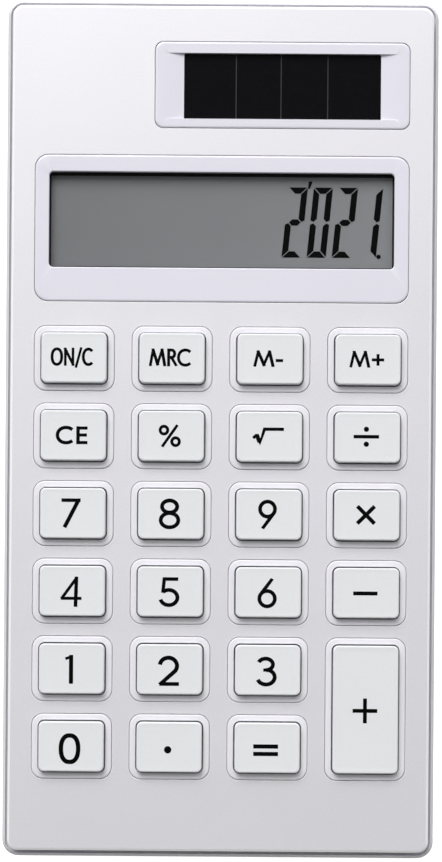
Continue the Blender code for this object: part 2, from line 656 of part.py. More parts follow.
def make_battery():
    """Button cell with the can downwards, and the two spring contacts that touch it."""
    bottom, shoulder, top = CELL_HEIGHTS
    edge = 0.3 * MM
    profile = (
        (0.0, top),
        (CELL_CAP_RADIUS - edge, top),
        (CELL_CAP_RADIUS, shoulder),
        (CELL_RADIUS - edge, shoulder),
        (CELL_RADIUS, shoulder - edge),
        (CELL_RADIUS, bottom + edge),
        (CELL_RADIUS - edge, bottom),
        (0.0, bottom),
    )
    turned("button_cell", profile, material("cell_steel", (0.70, 0.70, 0.70), 0.25, metallic=1.0), CELL_CENTRE)

    x, y = CELL_CENTRE
    start = BOARD_Y[1] - 2.2 * MM - y
    on_board = BOARD_Z[1] + CONTACT_THICKNESS
    clear = WELL_TOP_Z + 0.9 * MM
    touch = top + CONTACT_THICKNESS
    path = ((start, on_board), (start + 1.8 * MM, on_board), (start + 3.2 * MM, clear), (-3.0 * MM, clear))
    path += ((0.0, touch), (2.0 * MM, clear))
    bent_strip("battery_contact_negative", path, 4.0 * MM, spring_metal(), (x, y, 0.0))

    leaf_x = -CELL_RADIUS - FIT - CONTACT_THICKNESS / 2
    leaf = ((-7.8 * MM, -1.2 * MM), (-3.5 * MM, -0.6 * MM), (0.0, 0.0), (3.5 * MM, -0.6 * MM))
    strip = bent_strip(
        "battery_contact_positive",
        leaf,
        1.4 * MM,
        spring_metal(),
        (x + leaf_x, y, (TRAY_Z[1] + WELL_TOP_Z) / 2),
    )
    strip.rotation_euler = (0.0, math.pi / 2, 0.0)


def make_screw(name, place, head_z, head_radius, tip_z, shank_radius):
    """Pan-head screw driven upwards: a domed head below, a plain shank and a tapered tip above."""
    low, high = head_z
    edge = (high - low) / 3
    profile = (
        (0.0, tip_z),
        (shank_radius / 3, tip_z),
        (shank_radius, tip_z - 2 * shank_radius),
        (shank_radius, high),
        (head_radius, high),
        (head_radius, low + edge),
        (head_radius - edge, low),
        (0.0, low),
    )
    steel = material("screw_steel", (0.55, 0.55, 0.56), 0.35, metallic=1.0)
    turned(name, profile, steel, place, SMALL_SIDES)


def make_fasteners_and_feet():
    for number, place in enumerate(CASE_SCREWS, 1):
        make_screw(f"case_screw_{number}", place, (0.5 * MM, 1.1 * MM), 1.35 * MM, 6.5 * MM, 0.5 * MM)
    for number, place in enumerate(BOARD_SCREWS, 1):
        make_screw(f"board_screw_{number}", place, (2.5 * MM, 3.1 * MM), 1.2 * MM, 6.3 * MM, 0.5 * MM)
    rubber = material("foot_rubber", (0.50, 0.50, 0.52), 0.8)
    edge = 0.25 * MM
    profile = ((0.0, FOOT_TOP_Z), (FOOT_RADIUS, FOOT_TOP_Z), (FOOT_RADIUS, edge), (FOOT_RADIUS - edge, 0.0), (0.0, 0.0))
    for number, place in enumerate(FEET, 1):
        turned(f"rubber_foot_{number}", profile, rubber, place)


def shade():
    """Round pieces are shaded smooth, with their real edges left sharp."""
    for obj in PARTS.objects:
        if obj.type == "MESH" and obj.data.polygons:
            obj.data.shade_smooth()
            obj.data.set_sharp_from_angle(angle=math.radians(35))


clear_scene()
PARTS = new_collection("pocket_calculator")
CUTTERS = new_collection("cutters")
make_rear_housing()
make_front_housing()
make_face_plate()
make_display()
make_solar()
make_board()
make_key_mat()
make_keys()
make_battery_cover()
make_battery()
make_fasteners_and_feet()
shade()
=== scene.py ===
"""Looks of the slim pocket calculator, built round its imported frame.

Metres, in the frame's own axes: +X right across the keys, +Y towards the display, +Z out of the key face.
Every outer piece is a finely divided mesh that stands for its plain solid, the legends and the display's
digits are thin solids of ink and liquid crystal, and every surface has a procedural finish.
"""

import math

import bmesh
import bpy
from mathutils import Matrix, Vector


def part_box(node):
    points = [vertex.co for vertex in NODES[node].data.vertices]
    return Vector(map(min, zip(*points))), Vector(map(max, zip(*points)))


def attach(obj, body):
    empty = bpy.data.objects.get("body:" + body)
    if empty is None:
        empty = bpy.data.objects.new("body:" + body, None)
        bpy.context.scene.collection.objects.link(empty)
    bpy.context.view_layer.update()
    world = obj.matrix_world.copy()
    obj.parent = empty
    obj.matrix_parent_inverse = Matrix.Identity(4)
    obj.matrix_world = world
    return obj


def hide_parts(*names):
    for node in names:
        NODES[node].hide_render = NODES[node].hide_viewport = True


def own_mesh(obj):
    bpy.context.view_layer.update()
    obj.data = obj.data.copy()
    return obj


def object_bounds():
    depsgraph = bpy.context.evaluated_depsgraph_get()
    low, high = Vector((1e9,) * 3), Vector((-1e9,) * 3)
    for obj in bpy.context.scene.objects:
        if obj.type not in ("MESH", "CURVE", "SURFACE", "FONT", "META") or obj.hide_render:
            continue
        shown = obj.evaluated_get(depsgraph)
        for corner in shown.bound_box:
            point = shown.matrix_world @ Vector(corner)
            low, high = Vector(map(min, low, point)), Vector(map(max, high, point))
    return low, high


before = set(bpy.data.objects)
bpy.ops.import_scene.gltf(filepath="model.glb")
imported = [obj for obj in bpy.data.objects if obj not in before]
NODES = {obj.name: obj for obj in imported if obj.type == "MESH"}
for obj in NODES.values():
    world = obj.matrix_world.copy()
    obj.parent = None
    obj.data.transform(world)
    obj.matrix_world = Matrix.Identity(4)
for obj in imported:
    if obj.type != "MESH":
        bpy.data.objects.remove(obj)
CAD_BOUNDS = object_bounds()

MM = 0.001
TINY = 0.02 * MM

# How finely round shapes are divided
CORNER_STEPS = 10
EASE_STEPS = 4
ROUND_SIDES = 64
SMALL_SIDES = 32
ARC_STEPS = 20
SHARP_ANGLE = math.radians(40)
FLAT_EDGE_ANGLE = math.radians(15)
PAST = 1.0 * MM  # how far a cutting shape reaches past what it cuts

# Outer body
BODY_CORNER = 2.3 * MM
WALL = 1.3 * MM
LIP = 0.5 * MM
FIT = 0.2 * MM
BACK_ROUND = 1.2 * MM
SHOULDER_SLOPE = (0.40 * MM, 0.60 * MM)  # across and down
SHOULDER_POINTS = ((0, 0), (0.15, 0.3), (0.85, 0.94))  # shares of the way across and of the way up
SHOULDER_Z = 8.2 * MM
RIM_WIDTH = 0.45 * MM
GROOVE_Z = 7.4 * MM
DECK_Z = (7.35 * MM, 8.35 * MM)
DECK_INSET = 1.05 * MM
SPLIT_Z = 5.05 * MM
SPLIT_GAP = 0.1 * MM
SPLIT_EASE = 0.12 * MM
REBATE_TOP_Z = 6.1 * MM
FLOOR_Z = 1.6 * MM
BOARD_TOP_Z = 4.2 * MM
BOSS_RADIUS = 1.7 * MM
BOARD_BOSS_RADIUS = 1.2 * MM
PILOT_RADIUS = 0.62 * MM
PILOT_TOPS_Z = (7.0 * MM, 6.8 * MM)  # of the case and the board bosses
BOSS_MEET_Z = 3.45 * MM

# Face plate
PLATE_CORNER = 1.5 * MM
PLATE_CUT = (0.32 * MM, 0.13 * MM)  # the bright bevel's width and depth
PLATE_BURR = 0.07 * MM
PLATE_FOOT = 0.05 * MM
HAIRLINE = 0.08 * MM  # the gap round the collars and trims

# Keys and the collars round them
FLANGE_RIM = 0.7 * MM
FLANGE_THICKNESS = 0.7 * MM
FLANGE_EDGE = 0.1 * MM
CAP_CORNER = 0.75 * MM
CAP_ROUND = 0.2 * MM
CAP_CLEARANCE = 0.18 * MM
CAP_DISH = 0.03 * MM
COLLAR_RIM = 1.03 * MM
COLLAR_CORNER = 1.65 * MM
COLLAR_EASE = 0.22 * MM
INK_THICKNESS = 0.02 * MM
MOST_MITRE = 2.2  # how far a stroke's corner may stand out, in halves of its width

# Display
SURROUND_CORNER = 1.9 * MM
SURROUND_EASE = 0.3 * MM
SCREEN_X = (-24.3 * MM, 24.2 * MM)
SCREEN_Y = (22.58 * MM, 36.0 * MM)
SCREEN_CORNER = 0.6 * MM
SEGMENT_HEIGHT = 9.88 * MM
SEGMENT_WIDTH = 2.7 * MM
SEGMENT_STROKE = 0.86 * MM
SEGMENT_GAP = 0.1 * MM
SEGMENT_SLANT = math.tan(math.radians(5.6))
DIGIT_PITCH = 3.54 * MM
LAST_DIGIT_CORNER = (21.73 * MM, 24.36 * MM)  # lower right corner of the last digit
SHOWN_DIGITS = "2021"
DECIMAL_POINT = (22.11 * MM, 24.54 * MM, 0.31 * MM)
THOUSANDS_MARK = (12.41 * MM, 34.58 * MM)
THOUSANDS_MARK_HALF = (0.27 * MM, 0.52 * MM)

# Solar cell
SOLAR_CORNER = 1.2 * MM
CELL_WINDOW_X = (-5.49 * MM, 22.21 * MM)
CELL_WINDOW_Y = (43.53 * MM, 52.77 * MM)
CELL_WINDOW_CORNER = 0.25 * MM
CELL_RAMP = 2.4 * MM
CELL_POCKET_Z = 7.6 * MM
CELL_FILM = 0.03 * MM
LEAD_HOLE_INSET = 1.0 * MM
CELL_SPLITS = (1.84 * MM, 8.16 * MM, 14.74 * MM)
SPLIT_WIDTH = 0.14 * MM

# Legends, in millimetres about a key's centre: the stroke's width, then (glyph, left, right, bottom, top)
# of each sign
LEGENDS = {
    "key_on_clear": (
        0.41,
        (
            ("O", -3.26, -1.50, -1.20, 1.38),
            ("N", -1.40, 0.08, -1.20, 1.38),
            ("slash", 0.12, 1.20, -1.48, 1.46),
            ("C", 1.12, 2.94, -1.20, 1.38),
        ),
    ),
    "key_memory_recall": (
        0.42,
        (
            ("M", -3.22, -0.82, -1.16, 1.34),
            ("R", -0.68, 0.74, -1.16, 1.34),
            ("C", 0.70, 3.00, -1.18, 1.36),
        ),
    ),
    "key_memory_minus": (0.44, (("M", -2.34, 0.60, -1.14, 1.20), ("minus", 0.78, 1.82, -0.44, -0.02))),
    "key_memory_plus": (0.42, (("M", -2.62, 0.26, -1.14, 1.24), ("plus", 0.50, 2.24, -0.84, 0.78))),
    "key_clear_entry": (0.49, (("C", -2.46, 0.40, -1.30, 1.32), ("E", 0.42, 2.02, -1.26, 1.26))),
    "key_percent": (0.50, (("percent", -1.80, 1.34, -1.62, 1.64),)),
    "key_square_root": (0.50, (("root", -2.48, 2.10, -1.24, 1.30),)),
    "key_divide": (0.49, (("divide", -1.96, 1.60, -1.28, 1.48),)),
    "key_7": (0.56, (("7", -1.61, 1.24, -2.14, 2.08),)),
    "key_8": (0.55, (("8", -1.68, 1.33, -2.17, 2.14),)),
    "key_9": (0.53, (("9", -1.51, 1.11, -2.08, 2.08),)),
    "key_multiply": (0.56, (("times", -1.64, 1.34, -1.44, 1.54),)),
    "key_4": (0.51, (("4", -1.70, 1.36, -2.22, 2.01),)),
    "key_5": (0.55, (("5", -1.72, 1.34, -2.16, 2.04),)),
    "key_6": (0.53, (("6", -1.52, 1.18, -2.22, 2.02),)),
    "key_minus": (0.60, (("minus", -1.86, 1.55, -0.32, 0.22),)),
    "key_1": (0.53, (("1", -0.98, 0.20, -2.10, 1.94),)),
    "key_2": (0.59, (("2", -1.70, 1.40, -2.32, 1.94),)),
    "key_3": (0.56, (("3", -1.69, 1.26, -2.28, 1.90),)),
    "key_plus": (0.54, (("plus", -1.82, 1.64, -1.88, 1.60),)),
    "key_0": (0.60, (("0", -1.70, 1.32, -2.46, 1.86),)),
    "key_decimal": (0.48, (("point", -0.69, 0.31, -0.85, 0.15),)),
    "key_equals": (0.58, (("equals", -1.95, 1.53, -1.12, 0.51),)),
}

# Back: ribs, battery cover, feet and screws
RIB_HALF_LENGTH = 20 * MM
RIB_WIDTH = 1.0 * MM
RIB_TOP_Z = 3.05 * MM
RIB_ROWS = (1, 3, 5)  # rows of keys, counted down from the first
COVER_TONGUE = 0.9 * MM
COVER_START = 0.8 * MM  # how far the outer plate starts behind the tongue's end
COVER_CAP_Y = 58.9 * MM
COVER_TOP_Z = 1.6 * MM
TONGUE_Z = 1.15 * MM
TRAY_Z = (1.8 * MM, 2.7 * MM)
WELL_CLEARANCE = 0.3 * MM
WELL_WALL = 0.9 * MM
WELL_TOP_Z = 4.6 * MM
CONTACT_HALF_WIDTH = 4.5 * MM
FLARE = 0.15 * MM  # how far a recess opens out at the back's face
PANEL_SIZE = (34 * MM, 16 * MM)
PANEL_CORNER = 1.0 * MM
PANEL_Y = -6.0 * MM
GRIP_SIZE = (9 * MM, 5 * MM)
GRIP_CORNER = 1.5 * MM
GRIP_Y = 50.0 * MM
GRIP_DEPTH = 0.35 * MM
GRIP_BARS = 4
BAR_HALF_WIDTH = 0.22 * MM
BAR_INSET = 1.0 * MM
BAR_EASE = 0.1 * MM
ARROW_HALF_WIDTH = 1.6 * MM
ARROW_LENGTH = 2.0 * MM
ARROW_TIP = 4.0 * MM  # beyond the grip
FOOT_EASE = 0.3 * MM
SINK_RADIUS = 1.6 * MM
SINK_TOP_Z = 1.2 * MM
SCREW_HOLE_RADIUS = 0.75 * MM
SHANK_RADIUS = 0.5 * MM
HEAD_HEIGHT = 0.6 * MM
HEAD_EASE = 0.25 * MM
CROSS_ARM = (0.75 * MM, 0.14 * MM)  # half the length and half the width
CROSS_DEPTH = 0.38 * MM

# Button cell and key mat
POLE_RADIUS = 4.7 * MM
POLE_HEIGHT = 0.4 * MM
POLE_EASE = 0.3 * MM
SEAL_WIDTH = 0.35 * MM
SEAL_DEPTH = 0.1 * MM
MAT_CORNER = 1.0 * MM
MAT_THICKNESS = 0.6 * MM
DOME_RADII = (3.2 * MM, 1.9 * MM)  # at the foot and at the crown
DOME_SKIN = 0.3 * MM
PILL_RADIUS = 1.2 * MM
PILL_DEPTH = 0.15 * MM

# Camera and light
EYE_HEIGHT = 300 * MM
EYE_PLACE = (0.25 * MM, -24.05 * MM)
EYE_TURN = 0.0076
SEEN_LENGTH = 121.11 * MM  # what the long side of the picture takes in, on the plate
SENSOR = 36.0
EYE_SHIFT = 0.196
# The room's strength is a product of four factors. Each goes from its third number to its fourth as one
# component of the direction goes from the first to the second.
ROOM_TOP = (0.70, 0.97, 1.62, 0.15)  # by height, darker straight above
ROOM_ENDS = (-0.8, 0.8, 0.17, 1.3)  # along the body, brighter towards the display end
ROOM_FOOT = (0.0, 0.75, 0.3, 1.0)  # by height, darker towards the horizon
ROOM_FLANKS = (0.25, 0.9, 1.0, 0.4)  # across the body, darker to the left and the right
LAMP_PLACE = (-0.35, 1.05, 0.96)
LAMP_SIZE = 0.9
LAMP_POWER = 15.6
FLOOR_REACH = 3.0
FLOOR_GLOW = 0.9


# ---------------- shapes


def grown(span, amount):
    return (span[0] - amount, span[1] + amount)


def between(span, share):
    return span[0] + share * (span[1] - span[0])


def spans(node):
    """The node's extent on each axis, as (low, high) pairs."""
    low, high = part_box(node)
    return tuple((low[axis], high[axis]) for axis in range(3))


def middle(node):
    low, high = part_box(node)
    return (low + high) / 2


def round_extent(node):
    """Centre, radius, lowest and highest height of an upright round node."""
    low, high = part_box(node)
    return (low + high) / 2, (high.x - low.x) / 2, low.z, high.z


def rounded_loop(x, y, corner, z, steps=CORNER_STEPS):
    """Points round a rectangle with round corners, anticlockwise."""
    corner = max(corner, TINY)
    points = []
    for edge_x, edge_y, right, up, start in (
        (x[1], y[0], 1, -1, -90),
        (x[1], y[1], 1, 1, 0),
        (x[0], y[1], -1, 1, 90),
        (x[0], y[0], -1, -1, 180),
    ):
        for step in range(steps + 1):
            turn = math.radians(start + 90 * step / steps)
            across = edge_x - right * corner + corner * math.cos(turn)
            along = edge_y - up * corner + corner * math.sin(turn)
            points.append((across, along, z))
    return points


def round_loop(centre, radius, z, sides):
    turns = [2 * math.pi * side / sides for side in range(sides)]
    return [(centre[0] + radius * math.cos(t), centre[1] + radius * math.sin(t), z) for t in turns]


def eased(grow, z, across, up, steps=EASE_STEPS):
    """A quarter round from the wall, at (grow, z - up), to the flat, at (grow + across, z)."""
    profile = []
    for step in range(steps + 1):
        turn = math.pi / 2 * step / steps
        profile.append((grow + across * (1 - math.cos(turn)), z - up * (1 - math.sin(turn))))
    return profile


def bridge(bm, loops, slots=None):
    """Faces between each loop and the next. slots gives each band's material slot, or 0 for all."""
    for band, (near, far) in enumerate(zip(loops, loops[1:])):
        for i, corner in enumerate(near):
            after = (i + 1) % len(near)
            face = bm.faces.new((corner, near[after], far[after], far[i]))
            face.material_index = slots[band] if slots else 0


def new_loop(bm, points):
    return [bm.verts.new(point) for point in points]


def skirt(bm, plan, profile, slots=None, steps=CORNER_STEPS):
    """A rim round a plan of (x, y, corner): one loop for each (grow, height). Returns the end loops."""
    x, y, corner = plan
    loops = []
    for grow, z in profile:
        loops.append(new_loop(bm, rounded_loop(grown(x, grow), grown(y, grow), corner + grow, z, steps)))
    bridge(bm, loops, slots)
    return loops[0], loops[-1]


def round_skirt(bm, centre, profile, sides=SMALL_SIDES, slots=None):
    """A turned rim: one circle for each (radius, height). Returns the end loops."""
    loops = [new_loop(bm, round_loop(centre, radius, z, sides)) for radius, z in profile]
    bridge(bm, loops, slots)
    return loops[0], loops[-1]


def fill(bm, loops, slot=0):
    """Closes the flat region inside the first loop and outside the others."""
    edges = []
    for loop in loops:
        for i, corner in enumerate(loop):
            pair = (corner, loop[(i + 1) % len(loop)])
            edges.append(bm.edges.get(pair) or bm.edges.new(pair))
    made = bmesh.ops.triangle_fill(bm, use_beauty=True, edges=edges, normal=(0.0, 0.0, 1.0))
    for item in made["geom"]:
        if isinstance(item, bmesh.types.BMFace):
            item.material_index = slot


def finished(bm, name="piece"):
    bmesh.ops.recalc_face_normals(bm, faces=bm.faces)
    mesh = bpy.data.meshes.new(name)
    bm.to_mesh(mesh)
    bm.free()
    return mesh


def solid(plan, profile, steps=CORNER_STEPS):
    """A closed solid with a rounded plan and the given side profile, bottom to top."""
    bm = bmesh.new()
    first, last = skirt(bm, plan, profile, steps=steps)
    fill(bm, [first])
    fill(bm, [last])
    return finished(bm)


def block(x, y, z, corner=0.0):
    return solid((x, y, corner), [(0.0, z[0]), (0.0, z[1])])


def turned(centre, profile, sides=ROUND_SIDES, slots=None, end_slots=(0, 0)):
    """A closed solid of revolution about an upright line, from (radius, height) pairs."""
    bm = bmesh.new()
    first, last = round_skirt(bm, centre, profile, sides, slots)
    fill(bm, [first], end_slots[0])
    fill(bm, [last], end_slots[1])
    return finished(bm)


def gathered(meshes):
    bm = bmesh.new()
    for mesh in meshes:
        bm.from_mesh(mesh)
        bpy.data.meshes.remove(mesh)
    return finished(bm)


def helper(mesh):
    obj = bpy.data.objects.new("helper", mesh)
    bpy.context.scene.collection.objects.link(obj)
    return obj


def carved(mesh, cuts):
    """The mesh after each (operation, other mesh) Boolean in turn."""
    target = helper(mesh)
    tools = []
    for operation, other in cuts:
        tool = helper(other)
        tools.append(tool)
        modifier = target.modifiers.new("cut", "BOOLEAN")
        modifier.operation = operation
        modifier.solver = "EXACT"
        modifier.object = tool
    bpy.context.view_layer.update()
    graph = bpy.context.evaluated_depsgraph_get()
    made = bpy.data.meshes.new_from_object(target.evaluated_get(graph))
    for obj in [target, *tools]:
        bpy.data.objects.remove(obj)
    return made


def add_piece(name, mesh, looks, body="case", replaces=(), sharp=SHARP_ANGLE):
    """Adds a finished piece, shaded smooth between its real edges, riding on its body."""
    obj = bpy.data.objects.new(name, mesh)
    bpy.context.scene.collection.objects.link(obj)
    for look in looks:
        mesh.materials.append(look)
    mesh.shade_smooth()
    mesh.set_sharp_from_angle(angle=sharp)
    normals = obj.modifiers.new("normals", "WEIGHTED_NORMAL")
    normals.keep_sharp = True
    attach(obj, body)
    if replaces:
        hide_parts(*replaces)
    return obj


def stand_in(node, ending, mesh, looks, body="case", sharp=SHARP_ANGLE):
    """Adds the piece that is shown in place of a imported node."""
    add_piece(f"{node}_{ending}", mesh, looks, body, [node], sharp)


# ---------------- finishes


def link_math(tree, operation, first, second, third=None):
    """A maths node. Each value is a number or another node's output."""
    node = tree.nodes.new("ShaderNodeMath")
    node.operation = operation
    for socket, value in zip(node.inputs, (first, second, third)):
        if value is None:
            continue
        if isinstance(value, bpy.types.NodeSocket):
            tree.links.new(value, socket)
        else:
            socket.default_value = value
    return node.outputs[0]


def link_ramp(tree, place, limits, interpolation="LINEAR"):
    """A factor from the third limit to the fourth, as the place goes from the first to the second."""
    node = tree.nodes.new("ShaderNodeMapRange")
    node.interpolation_type = interpolation
    for socket, value in zip(("From Min", "From Max", "To Min", "To Max"), limits):
        node.inputs[socket].default_value = value
    tree.links.new(place, node.inputs["Value"])
    return node.outputs["Result"]


def noise(tree, vector, size, detail=2.0):
    node = tree.nodes.new("ShaderNodeTexNoise")
    node.inputs["Scale"].default_value = 1.0 / size
    node.inputs["Detail"].default_value = detail
    tree.links.new(vector, node.inputs["Vector"])
    return node.outputs["Fac"]


def surface(
    name,
    colour,
    roughness,
    metallic=0.0,
    grain=0.25 * MM,
    relief=0.002 * MM,
    speckle=0.02,
    patch=12 * MM,
    mottle=0.01,
    uneven=0.05,
    coat=0.0,
    alpha=1.0,
    shine=0.5,
    painted_light_ramp=None,
):
    """A Principled finish with fine grain, its colour and gloss varying as moulding, film or metal does.

    speckle and mottle are the shares by which the fine and the broad pattern change the colour. The last
    argument is a ramp of painted light, (low place, high place, low factor, high factor): the colour is
    scaled from one factor to the other along the piece's X, for light and shade that fall across the piece.
    """
    made = bpy.data.materials.new(name)
    made.use_nodes = True
    tree = made.node_tree
    shader = tree.nodes["Principled BSDF"]
    place = tree.nodes.new("ShaderNodeTexCoord").outputs["Object"]
    fine = noise(tree, place, grain)
    broad = noise(tree, place, patch, 3.0)
    factor = link_math(tree, "MULTIPLY_ADD", fine, 4 * speckle, 1.0 - 2 * speckle)
    change = link_math(tree, "MULTIPLY_ADD", broad, 4 * mottle, -2 * mottle)
    factor = link_math(tree, "ADD", factor, change)
    if painted_light_ramp:
        split = tree.nodes.new("ShaderNodeSeparateXYZ")
        tree.links.new(place, split.inputs[0])
        factor = link_math(tree, "MULTIPLY", factor, link_ramp(tree, split.outputs["X"], painted_light_ramp))
    tint = tree.nodes.new("ShaderNodeVectorMath")
    tint.operation = "SCALE"
    tint.inputs[0].default_value = colour
    tree.links.new(factor, tint.inputs["Scale"])
    tree.links.new(tint.outputs[0], shader.inputs["Base Color"])
    gloss = link_math(tree, "MULTIPLY_ADD", fine, 2 * uneven, roughness - uneven)
    tree.links.new(gloss, shader.inputs["Roughness"])
    bump = tree.nodes.new("ShaderNodeBump")
    bump.inputs["Distance"].default_value = relief
    tree.links.new(fine, bump.inputs["Height"])
    tree.links.new(bump.outputs[0], shader.inputs["Normal"])
    shader.inputs["Metallic"].default_value = metallic
    shader.inputs["Specular IOR Level"].default_value = shine
    shader.inputs["Coat Weight"].default_value = coat
    shader.inputs["Coat Roughness"].default_value = 0.08
    shader.inputs["Alpha"].default_value = alpha
    return made


WHITE_PLASTIC = surface("white_plastic", (0.80, 0.79, 0.83), 0.38, relief=0.004 * MM)
# A darker copy of the white plastic, for the outer side and rim of the front moulding: painted shade where
# light falls at a grazing angle.
SHADED_RIM_PLASTIC = surface("painted_shade_rim_plastic", (0.74, 0.73, 0.76), 0.38, relief=0.004 * MM)
TRIM_PLASTIC = surface("trim_plastic", (0.785, 0.77, 0.85), 0.22, relief=0.001 * MM, speckle=0.01, coat=0.3)
KEY_PLASTIC = surface("key_plastic", (0.79, 0.80, 0.82), 0.42, grain=0.18 * MM, relief=0.003 * MM)
PLATE_FACE = surface(
    "blasted_aluminium",
    (0.83, 0.82, 0.86),
    0.46,
    metallic=0.35,
    grain=0.16 * MM,
    relief=0.006 * MM,
    speckle=0.045,
    uneven=0.10,
)
# Near-white, nearly unmetallic cut edge: partly the bare metal's own brightness, partly a painted highlight
# on every edge of the plate and its apertures.
CUT_METAL_AND_HIGHLIGHT = surface("cut_aluminium_and_painted_highlight", (0.95, 0.95, 0.96), 0.4, metallic=0.1, relief=0.0005 * MM)
INK = surface("black_ink", (0.002, 0.002, 0.002), 0.5, grain=0.1 * MM, speckle=0.1, shine=0.03)
CLEAR_ACRYLIC = surface("clear_acrylic", (0.01, 0.01, 0.01), 0.05, relief=0.0, alpha=0.06, shine=0.1)
BLACK_FOAM = surface("black_foam", (0.008, 0.008, 0.008), 0.9, grain=0.3 * MM, relief=0.05 * MM, speckle=0.2)
# Painted light: the film's colour is scaled up from left to right, by about a quarter, for light and shade
# falling across the display.
POLARISER = surface(
    "polariser_film",
    (0.212, 0.217, 0.227),
    0.35,
    grain=0.12 * MM,
    speckle=0.02,
    mottle=0.015,
    painted_light_ramp=(-25 * MM, 25 * MM, 1.05, 1.34),
)
LIQUID_CRYSTAL = surface("dark_segment", (0.002, 0.002, 0.002), 0.4, grain=0.1 * MM, speckle=0.1, shine=0.05)
LCD_GLASS = surface("lcd_glass", (0.30, 0.32, 0.31), 0.08, relief=0.0)
REFLECTOR = surface("reflector_film", (0.55, 0.56, 0.55), 0.35, metallic=0.5)
GREY_SILICONE = surface("grey_silicone", (0.25, 0.25, 0.26), 0.7, relief=0.01 * MM)
SILICON = surface(
    "amorphous_silicon",
    (0.004, 0.004, 0.005),
    0.14,
    grain=0.5 * MM,
    relief=0.0003 * MM,
    speckle=0.15,
    shine=0.2,
)
SILICON_SPLIT = surface("silicon_split", (0.035, 0.035, 0.038), 0.3)
RED_SLEEVE = surface("red_insulation", (0.55, 0.03, 0.03), 0.5)
BLACK_SLEEVE = surface("black_insulation", (0.02, 0.02, 0.02), 0.5)
LAMINATE = surface("board_laminate", (0.05, 0.22, 0.10), 0.45, grain=0.5 * MM, speckle=0.08, mottle=0.05)
EPOXY = surface("black_epoxy", (0.015, 0.015, 0.015), 0.3, relief=0.01 * MM, speckle=0.1)
CAPACITOR = surface("capacitor_body", (0.42, 0.30, 0.12), 0.5, speckle=0.06)
CELL_STEEL = surface("cell_steel", (0.70, 0.70, 0.70), 0.25, metallic=1.0, relief=0.001 * MM)
SPRING_METAL = surface("spring_metal", (0.72, 0.70, 0.66), 0.3, metallic=1.0, relief=0.001 * MM)
SCREW_STEEL = surface("screw_steel", (0.55, 0.55, 0.56), 0.35, metallic=1.0, relief=0.002 * MM, speckle=0.05)
SILICONE = surface("silicone", (0.55, 0.56, 0.58), 0.6, relief=0.006 * MM)
CARBON = surface("carbon_pill", (0.02, 0.02, 0.02), 0.7, speckle=0.1)
FOOT_RUBBER = surface("foot_rubber", (0.50, 0.50, 0.52), 0.8, grain=0.3 * MM, relief=0.02 * MM, speckle=0.05)


def dress(node, look):
    """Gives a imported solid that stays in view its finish."""
    mesh = NODES[node].data
    mesh.materials.clear()
    mesh.materials.append(look)


# ---------------- front


def body_plan():
    low, high = CAD_BOUNDS
    return ((low[0], high[0]), (low[1], high[1]), BODY_CORNER)


def key_plans():
    """Each key's name and the plan of its cap."""
    plans = []
    for name in LEGENDS:
        x, y, _ = spans(name)
        plans.append((name, (grown(x, -FLANGE_RIM), grown(y, -FLANGE_RIM), CAP_CORNER)))
    return plans


def widened(plan, amount, corner=None):
    x, y, old_corner = plan
    return (grown(x, amount), grown(y, amount), old_corner + amount if corner is None else corner)


def screw_places(kind):
    return [middle(f"{kind}_screw_{number}") for number in (1, 2, 3, 4)]


